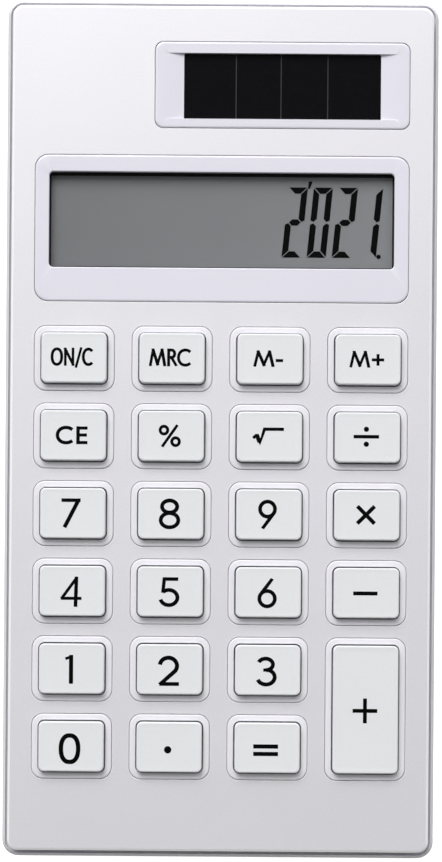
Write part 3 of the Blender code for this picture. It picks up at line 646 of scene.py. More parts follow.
def make_front_housing():
    """Frame and deck in one moulding, with a collar round every key and the bosses under it."""
    bm = bmesh.new()
    plan = body_plan()
    low_z = SPLIT_Z + SPLIT_GAP / 2
    ceiling, deck = DECK_Z
    collar_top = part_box("front_housing")[1].z
    rebate = LIP + FIT - WALL
    inner_side = [(-WALL, ceiling), (-WALL, REBATE_TOP_Z), (rebate, REBATE_TOP_Z), (rebate, low_z)]
    across, down = SHOULDER_SLOPE
    outer_side = [(-SPLIT_EASE, low_z), (0.0, low_z + SPLIT_EASE)]
    outer_side += [(-across * part, SHOULDER_Z - down * (1 - rise)) for part, rise in SHOULDER_POINTS]
    outer_side += [(-across, SHOULDER_Z), (-RIM_WIDTH, SHOULDER_Z)]
    groove = [(-RIM_WIDTH, GROOVE_Z), (-DECK_INSET, GROOVE_Z), (-DECK_INSET, deck)]
    # The outer side and the rim take the darker copy of the white plastic, which is painted shade.
    slots = [0] * len(inner_side) + [1] * (len(outer_side) - 1) + [0] * len(groove)
    ceiling_rim, deck_rim = skirt(bm, plan, inner_side + outer_side + groove, slots)
    ceiling_holes = []
    deck_holes = []

    for _, cap in key_plans():
        collar = widened(cap, COLLAR_RIM, COLLAR_CORNER)
        opening = widened(cap, CAP_CLEARANCE)
        outer = [(0.0, deck)] + eased(0.0, collar_top, -COLLAR_EASE, COLLAR_EASE / 2)
        foot, crest = skirt(bm, collar, outer)
        inner = [(0.0, ceiling)] + eased(0.0, collar_top, COLLAR_EASE / 2, COLLAR_EASE / 2)
        under, mouth = skirt(bm, opening, inner)
        fill(bm, [crest, mouth])
        deck_holes.append(foot)
        ceiling_holes.append(under)

    window_x, window_y, _ = spans("display_window")
    opening = (grown(window_x, FIT), grown(window_y, FIT), FIT)
    under, top_rim = skirt(bm, opening, [(0.0, ceiling), (0.0, deck)])
    ceiling_holes.append(under)
    deck_holes.append(top_rim)

    cell_x, cell_y, _ = spans("solar_cell")
    pocket = (grown(cell_x, FIT), grown(cell_y, FIT), FIT)
    lead_hole = (grown(CELL_WINDOW_X, -LEAD_HOLE_INSET), grown(CELL_WINDOW_Y, -LEAD_HOLE_INSET), FIT)
    low_rim, top_rim = skirt(bm, pocket, [(0.0, CELL_POCKET_Z), (0.0, deck)])
    under, hole_rim = skirt(bm, lead_hole, [(0.0, ceiling), (0.0, CELL_POCKET_Z)])
    fill(bm, [low_rim, hole_rim])
    ceiling_holes.append(under)
    deck_holes.append(top_rim)

    mat_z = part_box("key_mat")[0].z
    for kind, radius, foot_z, pilot_top in (
        ("case", BOSS_RADIUS, BOSS_MEET_Z, PILOT_TOPS_Z[0]),
        ("board", BOARD_BOSS_RADIUS, mat_z, PILOT_TOPS_Z[1]),
    ):
        for place in screw_places(kind):
            profile = [(radius, ceiling), (radius, foot_z), (PILOT_RADIUS, foot_z), (PILOT_RADIUS, pilot_top)]
            root, end = round_skirt(bm, place, profile)
            fill(bm, [end])
            ceiling_holes.append(root)
    fill(bm, [deck_rim, *deck_holes])
    fill(bm, [ceiling_rim, *ceiling_holes])
    stand_in("front_housing", "moulding", finished(bm), [WHITE_PLASTIC, SHADED_RIM_PLASTIC])


def make_face_plate():
    """Blasted sheet with a bright cut edge, and a fine turned-down edge at each aperture. Both edges take a
    near-white finish that is partly bare metal and partly a painted highlight.
    """
    bm = bmesh.new()
    x, y, z = spans("face_plate")
    low, high = z
    wide, deep = PLATE_CUT
    side = [(-PLATE_FOOT, low), (0.0, low + PLATE_FOOT), (0.0, high - deep), (-wide, high)]
    under, top = skirt(bm, (x, y, PLATE_CORNER), side, slots=[0, 0, 1])
    under_holes = []
    top_holes = []
    plans = [widened(cap, COLLAR_RIM + HAIRLINE, COLLAR_CORNER + HAIRLINE) for _, cap in key_plans()]
    for node, corner in (("display_surround", SURROUND_CORNER), ("solar_frame", SOLAR_CORNER)):
        hole_x, hole_y, _ = spans(node)
        plans.append((grown(hole_x, HAIRLINE), grown(hole_y, HAIRLINE), corner))
    for plan in plans:
        profile = [(0.0, low), (0.0, high - PLATE_BURR), (PLATE_BURR, high)]
        bottom, mouth = skirt(bm, plan, profile, slots=[0, 1])
        under_holes.append(bottom)
        top_holes.append(mouth)
    fill(bm, [under, *under_holes])
    fill(bm, [top, *top_holes])
    looks = [PLATE_FACE, CUT_METAL_AND_HIGHLIGHT]
    stand_in("face_plate", "sheet", finished(bm), looks, sharp=FLAT_EDGE_ANGLE)


def make_display_surround():
    bm = bmesh.new()
    x, y, z = spans("display_surround")
    low, high = z
    outer = [(0.0, low)] + eased(0.0, high, -SURROUND_EASE, SURROUND_EASE / 2)
    foot, crest = skirt(bm, (x, y, SURROUND_CORNER), outer)
    inner = [(0.0, low)] + eased(0.0, high, SURROUND_EASE / 2, SURROUND_EASE / 2)
    under, mouth = skirt(bm, (SCREEN_X, SCREEN_Y, SCREEN_CORNER), inner)
    fill(bm, [foot, under])
    fill(bm, [crest, mouth])
    stand_in("display_surround", "trim", finished(bm), [TRIM_PLASTIC])


def make_solar_frame():
    """Frame of the cell's window: upright above and below, a long ramp at each end."""
    bm = bmesh.new()
    x, y, z = spans("solar_frame")
    low, high = z
    outer = [(0.0, low)] + eased(0.0, high, -SURROUND_EASE, SURROUND_EASE / 2)
    foot, crest = skirt(bm, (x, y, SOLAR_CORNER), outer)
    loops = []
    for ramp, height in ((0.0, low), (0.0, low + FIT), (CELL_RAMP, high)):
        points = rounded_loop(grown(CELL_WINDOW_X, ramp), CELL_WINDOW_Y, CELL_WINDOW_CORNER, height)
        loops.append(new_loop(bm, points))
    bridge(bm, loops)
    fill(bm, [foot, loops[0]])
    fill(bm, [crest, loops[-1]])
    stand_in("solar_frame", "trim", finished(bm), [TRIM_PLASTIC])


def make_solar_cell():
    """Four strips of amorphous silicon on their backing, with a fine grey line between them."""
    bm = bmesh.new()
    x, y, z = spans("solar_cell")
    backing_top = z[1] - CELL_FILM
    first, last = skirt(bm, (x, y, FIT), [(0.0, z[0]), (0.0, backing_top)])
    fill(bm, [first], 1)
    fill(bm, [last], 1)
    borders = [x[0] + FIT, *CELL_SPLITS, x[1] - FIT]
    for left, right in zip(borders, borders[1:]):
        strip_x = grown((left, right), -SPLIT_WIDTH / 2)
        strip = (strip_x, grown(y, -FIT), TINY)
        first, last = skirt(bm, strip, [(0.0, backing_top), (0.0, z[1])], steps=1)
        fill(bm, [first])
        fill(bm, [last])
    stand_in("solar_cell", "strips", finished(bm), [SILICON, SILICON_SPLIT])


def make_keys():
    """Caps with a soft rim and the slightest dish, each on the flange that holds it under the deck."""
    for name, cap in key_plans():
        bm = bmesh.new()
        low, high = spans(name)[2]
        flange = low + FLANGE_THICKNESS
        inset = FLANGE_RIM - FLANGE_EDGE
        side = [(inset, low), (FLANGE_RIM, low + FLANGE_EDGE), (FLANGE_RIM, flange - FLANGE_EDGE)]
        side += [(inset, flange), (0.0, flange)]
        side += eased(0.0, high, -CAP_ROUND, CAP_ROUND)
        side += [(-2 * CAP_ROUND, high - CAP_DISH / 3), (-4 * CAP_ROUND, high - CAP_DISH)]
        foot, crown = skirt(bm, cap, side)
        fill(bm, [foot])
        fill(bm, [crown])
        stand_in(name, "cap", finished(bm), [KEY_PLASTIC], body=name)


# ---------------- legends


def arc(centre, radii, start, end, power=2.0):
    """Points on an ellipse, from one angle to another in degrees. A power over 2 squares it."""
    steps = max(4, round(ARC_STEPS * abs(end - start) / 180))
    points = []
    for step in range(steps + 1):
        turn = math.radians(start + (end - start) * step / steps)
        across = math.copysign(abs(math.cos(turn)) ** (2 / power), math.cos(turn))
        up = math.copysign(abs(math.sin(turn)) ** (2 / power), math.sin(turn))
        points.append((centre[0] + radii[0] * across, centre[1] + radii[1] * up))
    return points


def ring(centre, radii, power=2.0):
    """A closed ellipse, its last point left out."""
    return arc(centre, radii, 0, 360, power)[:-1]


def touching_turn(centre, radii, point):
    """The angle at which a line from an outside point touches the left of an ellipse."""
    across = (point[0] - centre[0]) / radii[0]
    up = (point[1] - centre[1]) / radii[1]
    return math.degrees(math.atan2(up, across) + math.acos(1 / math.hypot(across, up)))


def six():
    centre, radii, tip = (0.5, 0.29), (0.5, 0.29), (0.76, 1.0)
    turn = touching_turn(centre, radii, tip)
    return [("line", [tip, arc(centre, radii, turn, turn + 1)[0]], 1), ("ring", ring(centre, radii), 1)]


def half_turned(strokes):
    return [(kind, [(1 - u, 1 - v) for u, v in points], width) for kind, points, width in strokes]


# Each sign as strokes in a unit box: (kind, points, share of the stroke's width). "line" strokes run half
# a width past their ends, "butt" strokes stop at them, and a "dot" is a centre and a diameter in widths.
GLYPHS = {
    "0": [("ring", ring((0.5, 0.5), (0.5, 0.5), 2.3), 1.05)],
    "1": [("line", [(1.0, 0.0), (1.0, 1.0)], 1.1), ("line", [(0.05, 0.94), (0.9, 0.99)], 0.75)],
    "2": [
        ("butt", arc((0.49, 0.69), (0.48, 0.31), 172, -44) + [(0.0, -0.04)], 1),
        ("line", [(0.1, 0.0), (0.98, 0.0)], 0.9),
    ],
    "3": [
        ("butt", arc((0.46, 0.775), (0.43, 0.225), 158, -85), 1),
        ("butt", arc((0.49, 0.285), (0.51, 0.285), 88, -160), 1),
        ("line", [(0.42, 0.56), (0.52, 0.56)], 0.8),
    ],
    "4": [
        ("line", [(0.76, 0.97), (0.03, 0.28)], 0.85),
        ("line", [(0.03, 0.25), (1.0, 0.25)], 0.85),
        ("line", [(0.80, 1.0), (0.76, 0.0)], 1),
    ],
    "5": [
        ("butt", arc((0.5, 0.29), (0.48, 0.29), 133, -165), 1),
        ("butt", [(0.165, 0.47), (0.24, 1.0), (1.02, 1.0)], 0.9),
    ],
    "6": six(),
    "7": [("line", [(0.0, 1.0), (0.95, 1.0)], 0.9), ("butt", [(0.96, 1.04), (0.08, -0.04)], 1)],
    "8": [("ring", ring((0.5, 0.265), (0.5, 0.265)), 1), ("ring", ring((0.5, 0.775), (0.43, 0.225)), 1)],
    "9": half_turned(six()),
    "plus": [("line", [(0.0, 0.5), (1.0, 0.5)], 1), ("line", [(0.5, 0.0), (0.5, 1.0)], 1)],
    "minus": [("line", [(0.0, 0.5), (1.0, 0.5)], 1)],
    "times": [("butt", [(0.0, 0.0), (1.0, 1.0)], 1), ("butt", [(0.0, 1.0), (1.0, 0.0)], 1)],
    "divide": [
        ("line", [(0.0, 0.5), (1.0, 0.5)], 1),
        ("dot", [(0.5, 0.96)], 1.5),
        ("dot", [(0.5, 0.04)], 1.5),
    ],
    "equals": [("line", [(0.0, 0.0), (1.0, 0.0)], 1), ("line", [(0.0, 1.0), (1.0, 1.0)], 1)],
    "point": [("dot", [(0.5, 0.5)], 2.15)],
    "percent": [
        ("line", [(0.14, 0.0), (0.86, 1.0)], 0.85),
        ("ring", ring((0.19, 0.79), (0.20, 0.195)), 0.85),
        ("ring", ring((0.81, 0.21), (0.20, 0.195)), 0.85),
    ],
    "root": [
        ("butt", [(-0.02, 0.38), (0.12, 0.62)], 0.85),
        ("butt", [(0.10, 0.64), (0.21, 0.10)], 1.2),
        ("butt", [(0.12, 0.55), (0.22, 0.0), (0.37, 1.0), (1.04, 1.0)], 0.9),
    ],
    "O": [("ring", ring((0.5, 0.5), (0.5, 0.5), 2.2), 1)],
    "N": [
        ("line", [(0.0, 0.0), (0.0, 1.0)], 0.9),
        ("line", [(0.0, 1.0), (1.0, 0.0)], 1),
        ("line", [(1.0, 0.0), (1.0, 1.0)], 0.9),
    ],
    "slash": [("line", [(0.0, 0.0), (1.0, 1.0)], 0.85)],
    "C": [("butt", arc((0.51, 0.5), (0.51, 0.5), 45, 315, 2.1), 1)],
    "M": [
        ("line", [(0.0, 0.0), (0.18, 1.0)], 0.95),
        ("line", [(0.19, 1.0), (0.5, 0.06)], 1.05),
        ("line", [(0.5, 0.06), (0.81, 1.0)], 0.9),
        ("line", [(0.82, 1.0), (1.0, 0.0)], 1.05),
    ],
    "R": [
        ("line", [(0.0, 0.0), (0.0, 1.0)], 1),
        ("butt", [(0.0, 1.0), (0.35, 1.0)] + arc((0.42, 0.75), (0.42, 0.25), 80, -80) + [(0.0, 0.5)], 1),
        ("line", [(0.42, 0.48), (1.0, 0.0)], 1),
    ],
    "E": [
        ("line", [(0.0, 0.0), (0.0, 1.0)], 1),
        ("line", [(0.0, 1.0), (1.0, 1.0)], 0.9),
        ("line", [(0.0, 0.52), (0.92, 0.52)], 0.9),
        ("line", [(0.0, 0.0), (1.0, 0.0)], 0.9),
    ],
}


def stroke_borders(points, width, closed, extend):
    """The left and right borders of a stroke along a path, mitred at its corners."""
    path = [Vector(point) for point in points]
    if extend:
        path[0] = path[0] + (path[0] - path[1]).normalized() * width / 2
        path[-1] = path[-1] + (path[-1] - path[-2]).normalized() * width / 2
    count = len(path)
    left = []
    right = []
    for i, point in enumerate(path):
        before = path[i - 1] if i or closed else None
        after = path[(i + 1) % count] if i < count - 1 or closed else None
        arriving = (point - before).normalized() if before else (after - point).normalized()
        leaving = (after - point).normalized() if after else arriving
        normal = Vector((-arriving.y - leaving.y, arriving.x + leaving.x)).normalized()
        spread = max(normal.dot(Vector((-arriving.y, arriving.x))), 1 / MOST_MITRE)
        offset = normal * (width / 2 / spread)
        left.append(point + offset)
        right.append(point - offset)
    return left, right


def add_stroke(bm, left, right, z, closed):
    """A closed solid between the two borders of a stroke."""
    rows = []
    for one, other in zip(left, right):
        ends = ((*one, z[1]), (*other, z[1]), (*other, z[0]), (*one, z[0]))
        rows.append(new_loop(bm, ends))
    count = len(rows)
    for i in range(count if closed else count - 1):
        after = rows[(i + 1) % count]
        for k in range(4):
            bm.faces.new((rows[i][k], rows[i][(k + 1) % 4], after[(k + 1) % 4], after[k]))
    if not closed:
        bm.faces.new(rows[0])
        bm.faces.new(rows[-1][::-1])


def add_prism(bm, outline, z):
    """An upright solid with a flat outline of (x, y) points."""
    loops = [new_loop(bm, [(x, y, height) for x, y in outline]) for height in z]
    bridge(bm, loops)
    bm.faces.new(loops[0][::-1])
    bm.faces.new(loops[1])


def add_glyph(bm, glyph, width, x, y, z):
    """Ink for one sign whose outer box is given. Each stroke is a hair thicker than the last."""
    inner_x = grown(x, -width / 2)
    inner_y = grown(y, -width / 2)
    for number, (kind, points, share) in enumerate(GLYPHS[glyph]):
        top = z[1] + number * INK_THICKNESS / 8
        path = [(between(inner_x, u), between(inner_y, v)) for u, v in points]
        if kind == "dot":
            outline = [point[:2] for point in round_loop(path[0], width * share / 2, 0.0, SMALL_SIDES)]
            add_prism(bm, outline, (z[0], top))
            continue
        closed = kind == "ring"
        left, right = stroke_borders(path, width * share, closed, kind == "line")
        for border in (left, right):
            for point in border:
                point.y = min(max(point.y, y[0]), y[1])
        add_stroke(bm, left, right, (z[0], top), closed)


def make_legends():
    for name, (width, signs) in LEGENDS.items():
        centre = middle(name)
        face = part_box(name)[1].z - CAP_DISH
        z = (face - INK_THICKNESS / 2, face + INK_THICKNESS / 2)
        bm = bmesh.new()
        for glyph, left, right, bottom, top in signs:
            x = (centre.x + left * MM, centre.x + right * MM)
            y = (centre.y + bottom * MM, centre.y + top * MM)
            add_glyph(bm, glyph, width * MM, x, y, z)
        add_piece(name + "_legend", finished(bm), [INK], name)


# ---------------- display

# The bars of each digit, clockwise from the top, with g across the middle
SEGMENTS = {
    "0": "abcdef",
    "1": "bc",
    "2": "abged",
    "3": "abgcd",
    "4": "fgbc",
    "5": "afgcd",
    "6": "afgecd",
    "7": "abc",
    "8": "abcdefg",
    "9": "abcdfg",
}


def segment_outline(letter):
    """One bar of a seven-segment digit, upright, from the digit's lower left corner."""
    wide, high, bar, gap = SEGMENT_WIDTH, SEGMENT_HEIGHT, SEGMENT_STROKE, SEGMENT_GAP
    half = high / 2
    top = [(gap, high), (wide - gap, high), (wide - bar - gap, high - bar), (bar + gap, high - bar)]
    low, rise = half + gap, half + bar / 2 + gap
    left = [(0.0, high - gap), (bar, high - bar - gap), (bar, rise), (bar / 2, low), (0.0, low + bar / 4)]
    across = [(bar / 2 + gap, half), (bar + gap, half + bar / 2), (wide - bar - gap, half + bar / 2)]
    shapes = {
        "a": top,
        "d": [(x, high - y) for x, y in reversed(top)],
        "f": left,
        "e": [(x, high - y) for x, y in reversed(left)],
        "b": [(wide - x, y) for x, y in reversed(left)],
        "c": [(wide - x, high - y) for x, y in left],
        "g": across + [(wide - x, high - y) for x, y in across],
    }
    return shapes[letter]


def leaning(x, y, place):
    return (place[0] + x + y * SEGMENT_SLANT, place[1] + y)


def make_digits():
    """The shown number, as dark liquid crystal on the polariser."""
    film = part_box("lcd_polariser")[1].z
    z = (film + TINY / 2, film + 2 * TINY)
    bm = bmesh.new()
    right, foot = LAST_DIGIT_CORNER
    for number, digit in enumerate(reversed(SHOWN_DIGITS)):
        place = (right - SEGMENT_WIDTH - number * DIGIT_PITCH, foot)
        for letter in SEGMENTS[digit]:
            add_prism(bm, [leaning(x, y, place) for x, y in segment_outline(letter)], z)
    x, y, radius = DECIMAL_POINT
    add_prism(bm, [point[:2] for point in round_loop((x, y), radius, 0.0, SMALL_SIDES)], z)
    across, up = THOUSANDS_MARK_HALF
    mark = [(-across, -up), (0.0, -up), (across, up), (-across, up)]
    add_prism(bm, [leaning(x, y, THOUSANDS_MARK) for x, y in mark], z)
    add_piece("lcd_digits", finished(bm), [LIQUID_CRYSTAL])


# ---------------- back


def back_envelope():
    """The outer form of the back: round plan corners and a round rim underneath."""
    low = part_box("rear_housing")[0].z
    top = SPLIT_Z - SPLIT_GAP / 2
    rim = eased(0.0, low, -BACK_ROUND, -BACK_ROUND, 6)[::-1]
    return solid(body_plan(), rim + [(0.0, top - SPLIT_EASE), (-SPLIT_EASE, top)])


def rear_additions(cell, well):
    """What stands on the tray's floor: the wall of the battery well, ribs for the board, and the bosses."""
    added = [turned(cell, [(well + WELL_WALL, TRAY_Z[1] - FIT), (well + WELL_WALL, WELL_TOP_Z)])]
    pitch = middle("key_7").y - middle("key_4").y
    first_row = middle("key_on_clear").y
    for row in RIB_ROWS:
        start = first_row - row * pitch - RIB_WIDTH / 2
        rib_y = (start, start + RIB_WIDTH)
        added.append(block((-RIB_HALF_LENGTH, RIB_HALF_LENGTH), rib_y, (FLOOR_Z - FIT, RIB_TOP_Z)))
    for place in screw_places("case"):
        profile = [(BOSS_RADIUS, FLOOR_Z - FIT), (BOSS_RADIUS, BOSS_MEET_Z - SPLIT_GAP)]
        added.append(turned(place, profile, SMALL_SIDES))
    return added


def flared(size, back, top):
    """Side profile of a recess in the back that opens out at the back's face."""
    return [(size + FLARE, -PAST), (size + FLARE, back), (size, back + FLARE), (size, top)]


def rear_recesses(back):
    """What is sunk into the back's face: screw recesses, seats of the feet and the shallow panel."""
    sink = flared(SINK_RADIUS, back, SINK_TOP_Z)
    recesses = [turned(place, sink, SMALL_SIDES) for place in screw_places("case")]
    for number in (1, 2, 3, 4):
        centre, radius, _, top = round_extent(f"rubber_foot_{number}")
        recesses.append(turned(centre, flared(radius + FIT, back, top + SPLIT_GAP)))
    width, depth = PANEL_SIZE
    panel = ((-width / 2, width / 2), (PANEL_Y - depth / 2, PANEL_Y + depth / 2), PANEL_CORNER)
    recesses.append(solid(panel, flared(0.0, back, back + FIT)))
    return recesses


def make_rear_housing():
    """Tray of the back, with its lip, ribs, bosses, battery well and the cover's channel."""
    plan = body_plan()
    wall = widened(plan, -WALL)
    lip_x, lip_y, lip_corner = widened(plan, LIP - WALL)
    back, lip_top = spans("rear_housing")[2]
    far_edge = plan[1][1]
    end = far_edge + PAST
    cover_x, cover_y, _ = spans("battery_cover")
    cell, cell_radius, _, _ = round_extent("button_cell")
    well = cell_radius + WELL_CLEARANCE

    tray_y = (cover_y[0] - WALL, far_edge - WALL / 2)
    tray = block(grown(cover_x, WALL), tray_y, (FLOOR_Z - FIT, TRAY_Z[1]), FIT)
    plate_x = grown(cover_x, -COVER_TONGUE)
    channel = block(grown(plate_x, FIT), (cover_y[0] + COVER_START - FIT, end), (-PAST, TONGUE_Z))
    groove = block(grown(cover_x, FIT), (cover_y[0] - FIT, end), (TONGUE_Z - FIT, TRAY_Z[0]))
    mouth = block(grown(cover_x, FIT), (COVER_CAP_Y - FIT, end), (-PAST, TONGUE_Z))
    pit = turned(cell, [(well, COVER_TOP_Z), (well, WELL_TOP_Z + PAST)])
    slot_x = (cell.x - well - WELL_WALL - FIT, cell.x - cell_radius)
    slot_y = (cell.y - CONTACT_HALF_WIDTH, cell.y + CONTACT_HALF_WIDTH)
    slot = block(slot_x, slot_y, (TRAY_Z[1], WELL_TOP_Z + PAST))
    hole = [(SCREW_HOLE_RADIUS, back), (SCREW_HOLE_RADIUS, BOSS_MEET_Z)]
    holes = [turned(place, hole, SMALL_SIDES) for place in screw_places("case")]

    mesh = carved(
        back_envelope(),
        [
            ("UNION", block(lip_x, lip_y, (BOARD_TOP_Z, lip_top), lip_corner)),
            ("DIFFERENCE", block(wall[0], wall[1], (FLOOR_Z, lip_top + PAST), wall[2])),
            ("UNION", tray),
            ("UNION", gathered(rear_additions(cell, well))),
            ("DIFFERENCE", channel),
            ("DIFFERENCE", groove),
            ("DIFFERENCE", mouth),
            ("DIFFERENCE", pit),
            ("DIFFERENCE", slot),
            ("DIFFERENCE", gathered(holes)),
            ("DIFFERENCE", gathered(rear_recesses(back))),
        ],
    )
    stand_in("rear_housing", "moulding", mesh, [WHITE_PLASTIC])


def make_battery_cover():
    """Sliding cover with tongues on three sides, an end cap, and a ribbed finger grip with an arrow."""
    x, y, z = spans("battery_cover")
    back = z[0]
    centre_x = (x[0] + x[1]) / 2
    step_y = (y[0] - PAST, COVER_CAP_Y)
    left_step = block((x[0] - PAST, x[0] + COVER_TONGUE), step_y, (-PAST, TONGUE_Z))
    right_step = block((x[1] - COVER_TONGUE, x[1] + PAST), step_y, (-PAST, TONGUE_Z))
    inner_step = block(grown(x, PAST), (step_y[0], y[0] + COVER_START), (-PAST, TONGUE_Z))
    width, depth = GRIP_SIZE
    grip_x = (centre_x - width / 2, centre_x + width / 2)
    grip_y = (GRIP_Y - depth / 2, GRIP_Y + depth / 2)
    grip = block(grip_x, grip_y, (-PAST, back + GRIP_DEPTH), GRIP_CORNER)
    bars = []
    side = [(-BAR_EASE, back + BAR_EASE), (0.0, back + 2 * BAR_EASE), (0.0, back + GRIP_DEPTH + FIT)]
    for number in range(GRIP_BARS):
        bar_y = grip_y[0] + depth * (number + 1) / (GRIP_BARS + 1)
        bar = (grown(grip_x, -BAR_INSET), grown((bar_y, bar_y), BAR_HALF_WIDTH), 2 * BAR_EASE)
        bars.append(solid(bar, side, steps=3))
    arrow = bmesh.new()
    tip_y = grip_y[1] + ARROW_TIP
    foot_y = tip_y - ARROW_LENGTH
    shape = [(centre_x - ARROW_HALF_WIDTH, foot_y), (centre_x + ARROW_HALF_WIDTH, foot_y), (centre_x, tip_y)]
    add_prism(arrow, shape, (-PAST, back + FIT))
    mesh = carved(
        block(x, (y[0], y[1] + PAST), (-PAST, z[1])),
        [
            ("INTERSECT", back_envelope()),
            ("DIFFERENCE", gathered([left_step, right_step])),
            ("DIFFERENCE", inner_step),
            ("DIFFERENCE", grip),
            ("UNION", gathered(bars)),
            ("DIFFERENCE", finished(arrow)),
        ],
    )
    stand_in("battery_cover", "moulding", mesh, [WHITE_PLASTIC], body="battery_cover")


def make_feet():
    for number in (1, 2, 3, 4):
        node = f"rubber_foot_{number}"
        centre, radius, low, high = round_extent(node)
        profile = [(radius, high)] + eased(radius, low, -FOOT_EASE, -FOOT_EASE)
        stand_in(node, "pad", turned(centre, profile), [FOOT_RUBBER])


def make_screws():
    """Pan-head screws with a cross recess, driven upwards."""
    for kind in ("case", "board"):
        for number in (1, 2, 3, 4):
            node = f"{kind}_screw_{number}"
            centre, head, low, high = round_extent(node)
            head_top = low + HEAD_HEIGHT
            profile = eased(head, low, -HEAD_EASE, -HEAD_EASE)[::-1]
            profile += [(head, head_top), (SHANK_RADIUS, head_top)]
            profile += [(SHANK_RADIUS, high - 2 * SHANK_RADIUS), (SHANK_RADIUS / 3, high)]
            arms = []
            for half_x, half_y in (CROSS_ARM, CROSS_ARM[::-1]):
                arm_x = (centre.x - half_x, centre.x + half_x)
                arm_y = (centre.y - half_y, centre.y + half_y)
                arms.append(("DIFFERENCE", block(arm_x, arm_y, (low - FIT, low + CROSS_DEPTH), 0.05 * MM)))
            mesh = carved(turned(centre, profile, SMALL_SIDES), arms)
            stand_in(node, "steel", mesh, [SCREW_STEEL])


# ---------------- inside


def make_button_cell():
    """Steel can below, the dark ring of the seal, and the narrower pole above."""
    centre, radius, low, high = round_extent("button_cell")
    shoulder = high - POLE_HEIGHT
    can = eased(radius, low, -POLE_EASE, -POLE_EASE)[::-1]
    can += eased(radius, shoulder, -POLE_EASE, POLE_EASE)
    outer = POLE_RADIUS + SEAL_WIDTH
    seal = [(outer, shoulder), (outer, shoulder - SEAL_DEPTH), (POLE_RADIUS, shoulder - SEAL_DEPTH)]
    pole = eased(POLE_RADIUS, high, -POLE_EASE, POLE_EASE)
    slots = [0] * len(can) + [1, 1] + [0] * len(pole)
    mesh = turned(centre, can + seal + pole, slots=slots)
    stand_in("button_cell", "steel", mesh, [CELL_STEEL, BLACK_FOAM])


def make_key_mat():
    """Silicone sheet on the board, and a hollow dome under each key, each dome with a mesh of its own."""
    x, y, z = spans("key_mat")
    sheet_top = z[0] + MAT_THICKNESS
    foot, crown = DOME_RADII
    bm = bmesh.new()
    under, top = skirt(bm, (x, y, MAT_CORNER), [(0.0, z[0]), (0.0, sheet_top)])
    under_holes = []
    top_holes = []
    holes = [(middle(name), foot - 2 * DOME_SKIN) for name in LEGENDS]
    holes += [(place, BOARD_BOSS_RADIUS + FIT) for place in screw_places("board")]
    for place, radius in holes:
        low_rim, high_rim = round_skirt(bm, place, [(radius, z[0]), (radius, sheet_top)])
        under_holes.append(low_rim)
        top_holes.append(high_rim)
    fill(bm, [under, *under_holes])
    fill(bm, [top, *top_holes])
    stand_in("key_mat", "sheet", finished(bm), [SILICONE])

    start = sheet_top + TINY
    for name in LEGENDS:
        place = middle(name)
        bm = bmesh.new()
        outer = [(foot, start)] + eased(crown, z[1], -DOME_SKIN, DOME_SKIN)
        low_rim, crest = round_skirt(bm, place, outer)
        roof = z[1] - 2 * DOME_SKIN
        inner = [(foot - DOME_SKIN, start), (crown - DOME_SKIN, roof)]
        mouth, ceiling = round_skirt(bm, place, inner)
        pill_side = [(PILL_RADIUS, roof), (PILL_RADIUS, roof - PILL_DEPTH)]
        pill, pill_face = round_skirt(bm, place, pill_side, slots=[1])
        fill(bm, [low_rim, mouth])
        fill(bm, [crest])
        fill(bm, [ceiling, pill])
        fill(bm, [pill_face], 1)
        dome = add_piece(name + "_dome", finished(bm), [SILICONE, CARBON])
        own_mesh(dome)


def dress_inner_pieces():
    """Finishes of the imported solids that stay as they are."""
    looks = {
        "display_window": CLEAR_ACRYLIC,
        # The gasket's black border round the display is partly a real seal and partly painted shade of the
        # display's deep opening.
        "display_gasket": BLACK_FOAM,
        "lcd_polariser": POLARISER,
        "lcd_front_glass": LCD_GLASS,
        "lcd_rear_glass": LCD_GLASS,
        "lcd_reflector": REFLECTOR,
        "zebra_connector": GREY_SILICONE,
        "solar_lead_positive": RED_SLEEVE,
        "solar_lead_negative": BLACK_SLEEVE,
        "circuit_board": LAMINATE,
        "controller_chip": EPOXY,
        "capacitor": CAPACITOR,
        "battery_contact_negative": SPRING_METAL,
        "battery_contact_positive": SPRING_METAL,
    }
    for node, look in looks.items():
        dress(node, look)


# ---------------- stage


def make_floor():
    """A pale glowing floor, from which dull surfaces get no light."""
    bm = bmesh.new()
    bmesh.ops.create_grid(bm, x_segments=1, y_segments=1, size=FLOOR_REACH)
    mesh = finished(bm)
    floor = bpy.data.objects.new("floor", mesh)
    bpy.context.scene.collection.objects.link(floor)
    look = surface("pale_floor", (0.90, 0.90, 0.90), 0.9, grain=2 * MM, speckle=0.0, mottle=0.0, relief=0.0)
    shader = look.node_tree.nodes["Principled BSDF"]
    shader.inputs["Specular IOR Level"].default_value = 0.0
    shader.inputs["Emission Color"].default_value = (1.0, 1.0, 1.0, 1.0)
    shader.inputs["Emission Strength"].default_value = FLOOR_GLOW
    mesh.materials.append(look)
    floor.visible_diffuse = False


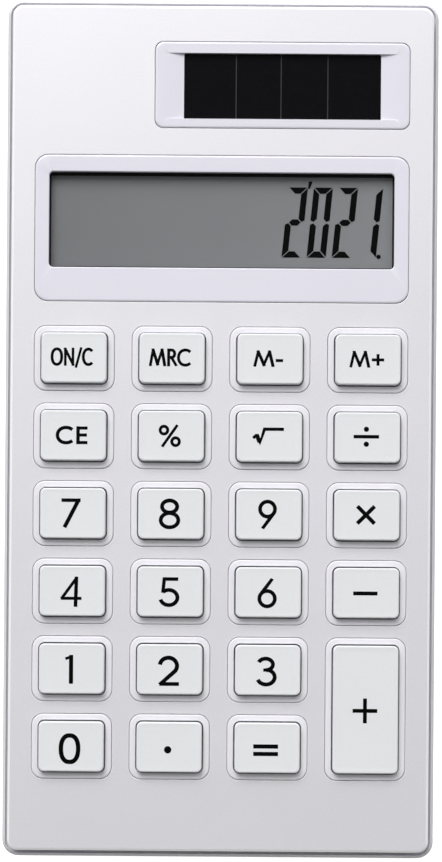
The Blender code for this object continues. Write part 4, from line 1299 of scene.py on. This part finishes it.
def make_light():
    """A pale room, brighter beyond the display end, and one big soft lamp there."""
    world = bpy.data.worlds.new("studio")
    bpy.context.scene.world = world
    world.use_nodes = True
    tree = world.node_tree
    background = tree.nodes["Background"]
    background.inputs["Color"].default_value = (1.0, 1.0, 1.0, 1.0)
    split = tree.nodes.new("ShaderNodeSeparateXYZ")
    tree.links.new(tree.nodes.new("ShaderNodeTexCoord").outputs["Generated"], split.inputs[0])
    aside = link_math(tree, "ABSOLUTE", split.outputs["X"], 0.0)
    strength = 1.0
    for place, limits in (
        (split.outputs["Z"], ROOM_TOP),
        (split.outputs["Y"], ROOM_ENDS),
        (split.outputs["Z"], ROOM_FOOT),
        (aside, ROOM_FLANKS),
    ):
        strength = link_math(tree, "MULTIPLY", link_ramp(tree, place, limits, "SMOOTHSTEP"), strength)
    tree.links.new(strength, background.inputs["Strength"])
    lamp = bpy.data.lights.new("softbox", "AREA")
    lamp.shape = "SQUARE"
    lamp.size = LAMP_SIZE
    lamp.energy = LAMP_POWER
    softbox = bpy.data.objects.new("softbox", lamp)
    bpy.context.scene.collection.objects.link(softbox)
    place = Vector(LAMP_PLACE)
    softbox.location = place
    softbox.rotation_euler = (-place).to_track_quat("-Z", "Y").to_euler()
    softbox.visible_camera = False
    bpy.context.scene.view_settings.view_transform = "Standard"


def make_camera():
    """Straight above the lower keys, with the frame shifted up over the whole face."""
    lens = bpy.data.cameras.new("camera")
    lens.sensor_width = SENSOR
    lens.lens = SENSOR * EYE_HEIGHT / SEEN_LENGTH
    lens.shift_y = EYE_SHIFT
    lens.clip_start = 0.01
    camera = bpy.data.objects.new("camera", lens)
    bpy.context.scene.collection.objects.link(camera)
    plate_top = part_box("face_plate")[1].z
    camera.location = (*EYE_PLACE, plate_top + EYE_HEIGHT)
    camera.rotation_euler = (0.0, 0.0, EYE_TURN)
    bpy.context.scene.camera = camera


make_camera()
make_floor()
make_light()
make_front_housing()
make_face_plate()
make_display_surround()
make_solar_frame()
make_solar_cell()
make_keys()
make_legends()
make_digits()
make_rear_housing()
make_battery_cover()
make_feet()
make_screws()
make_button_cell()
make_key_mat()
dress_inner_pieces()
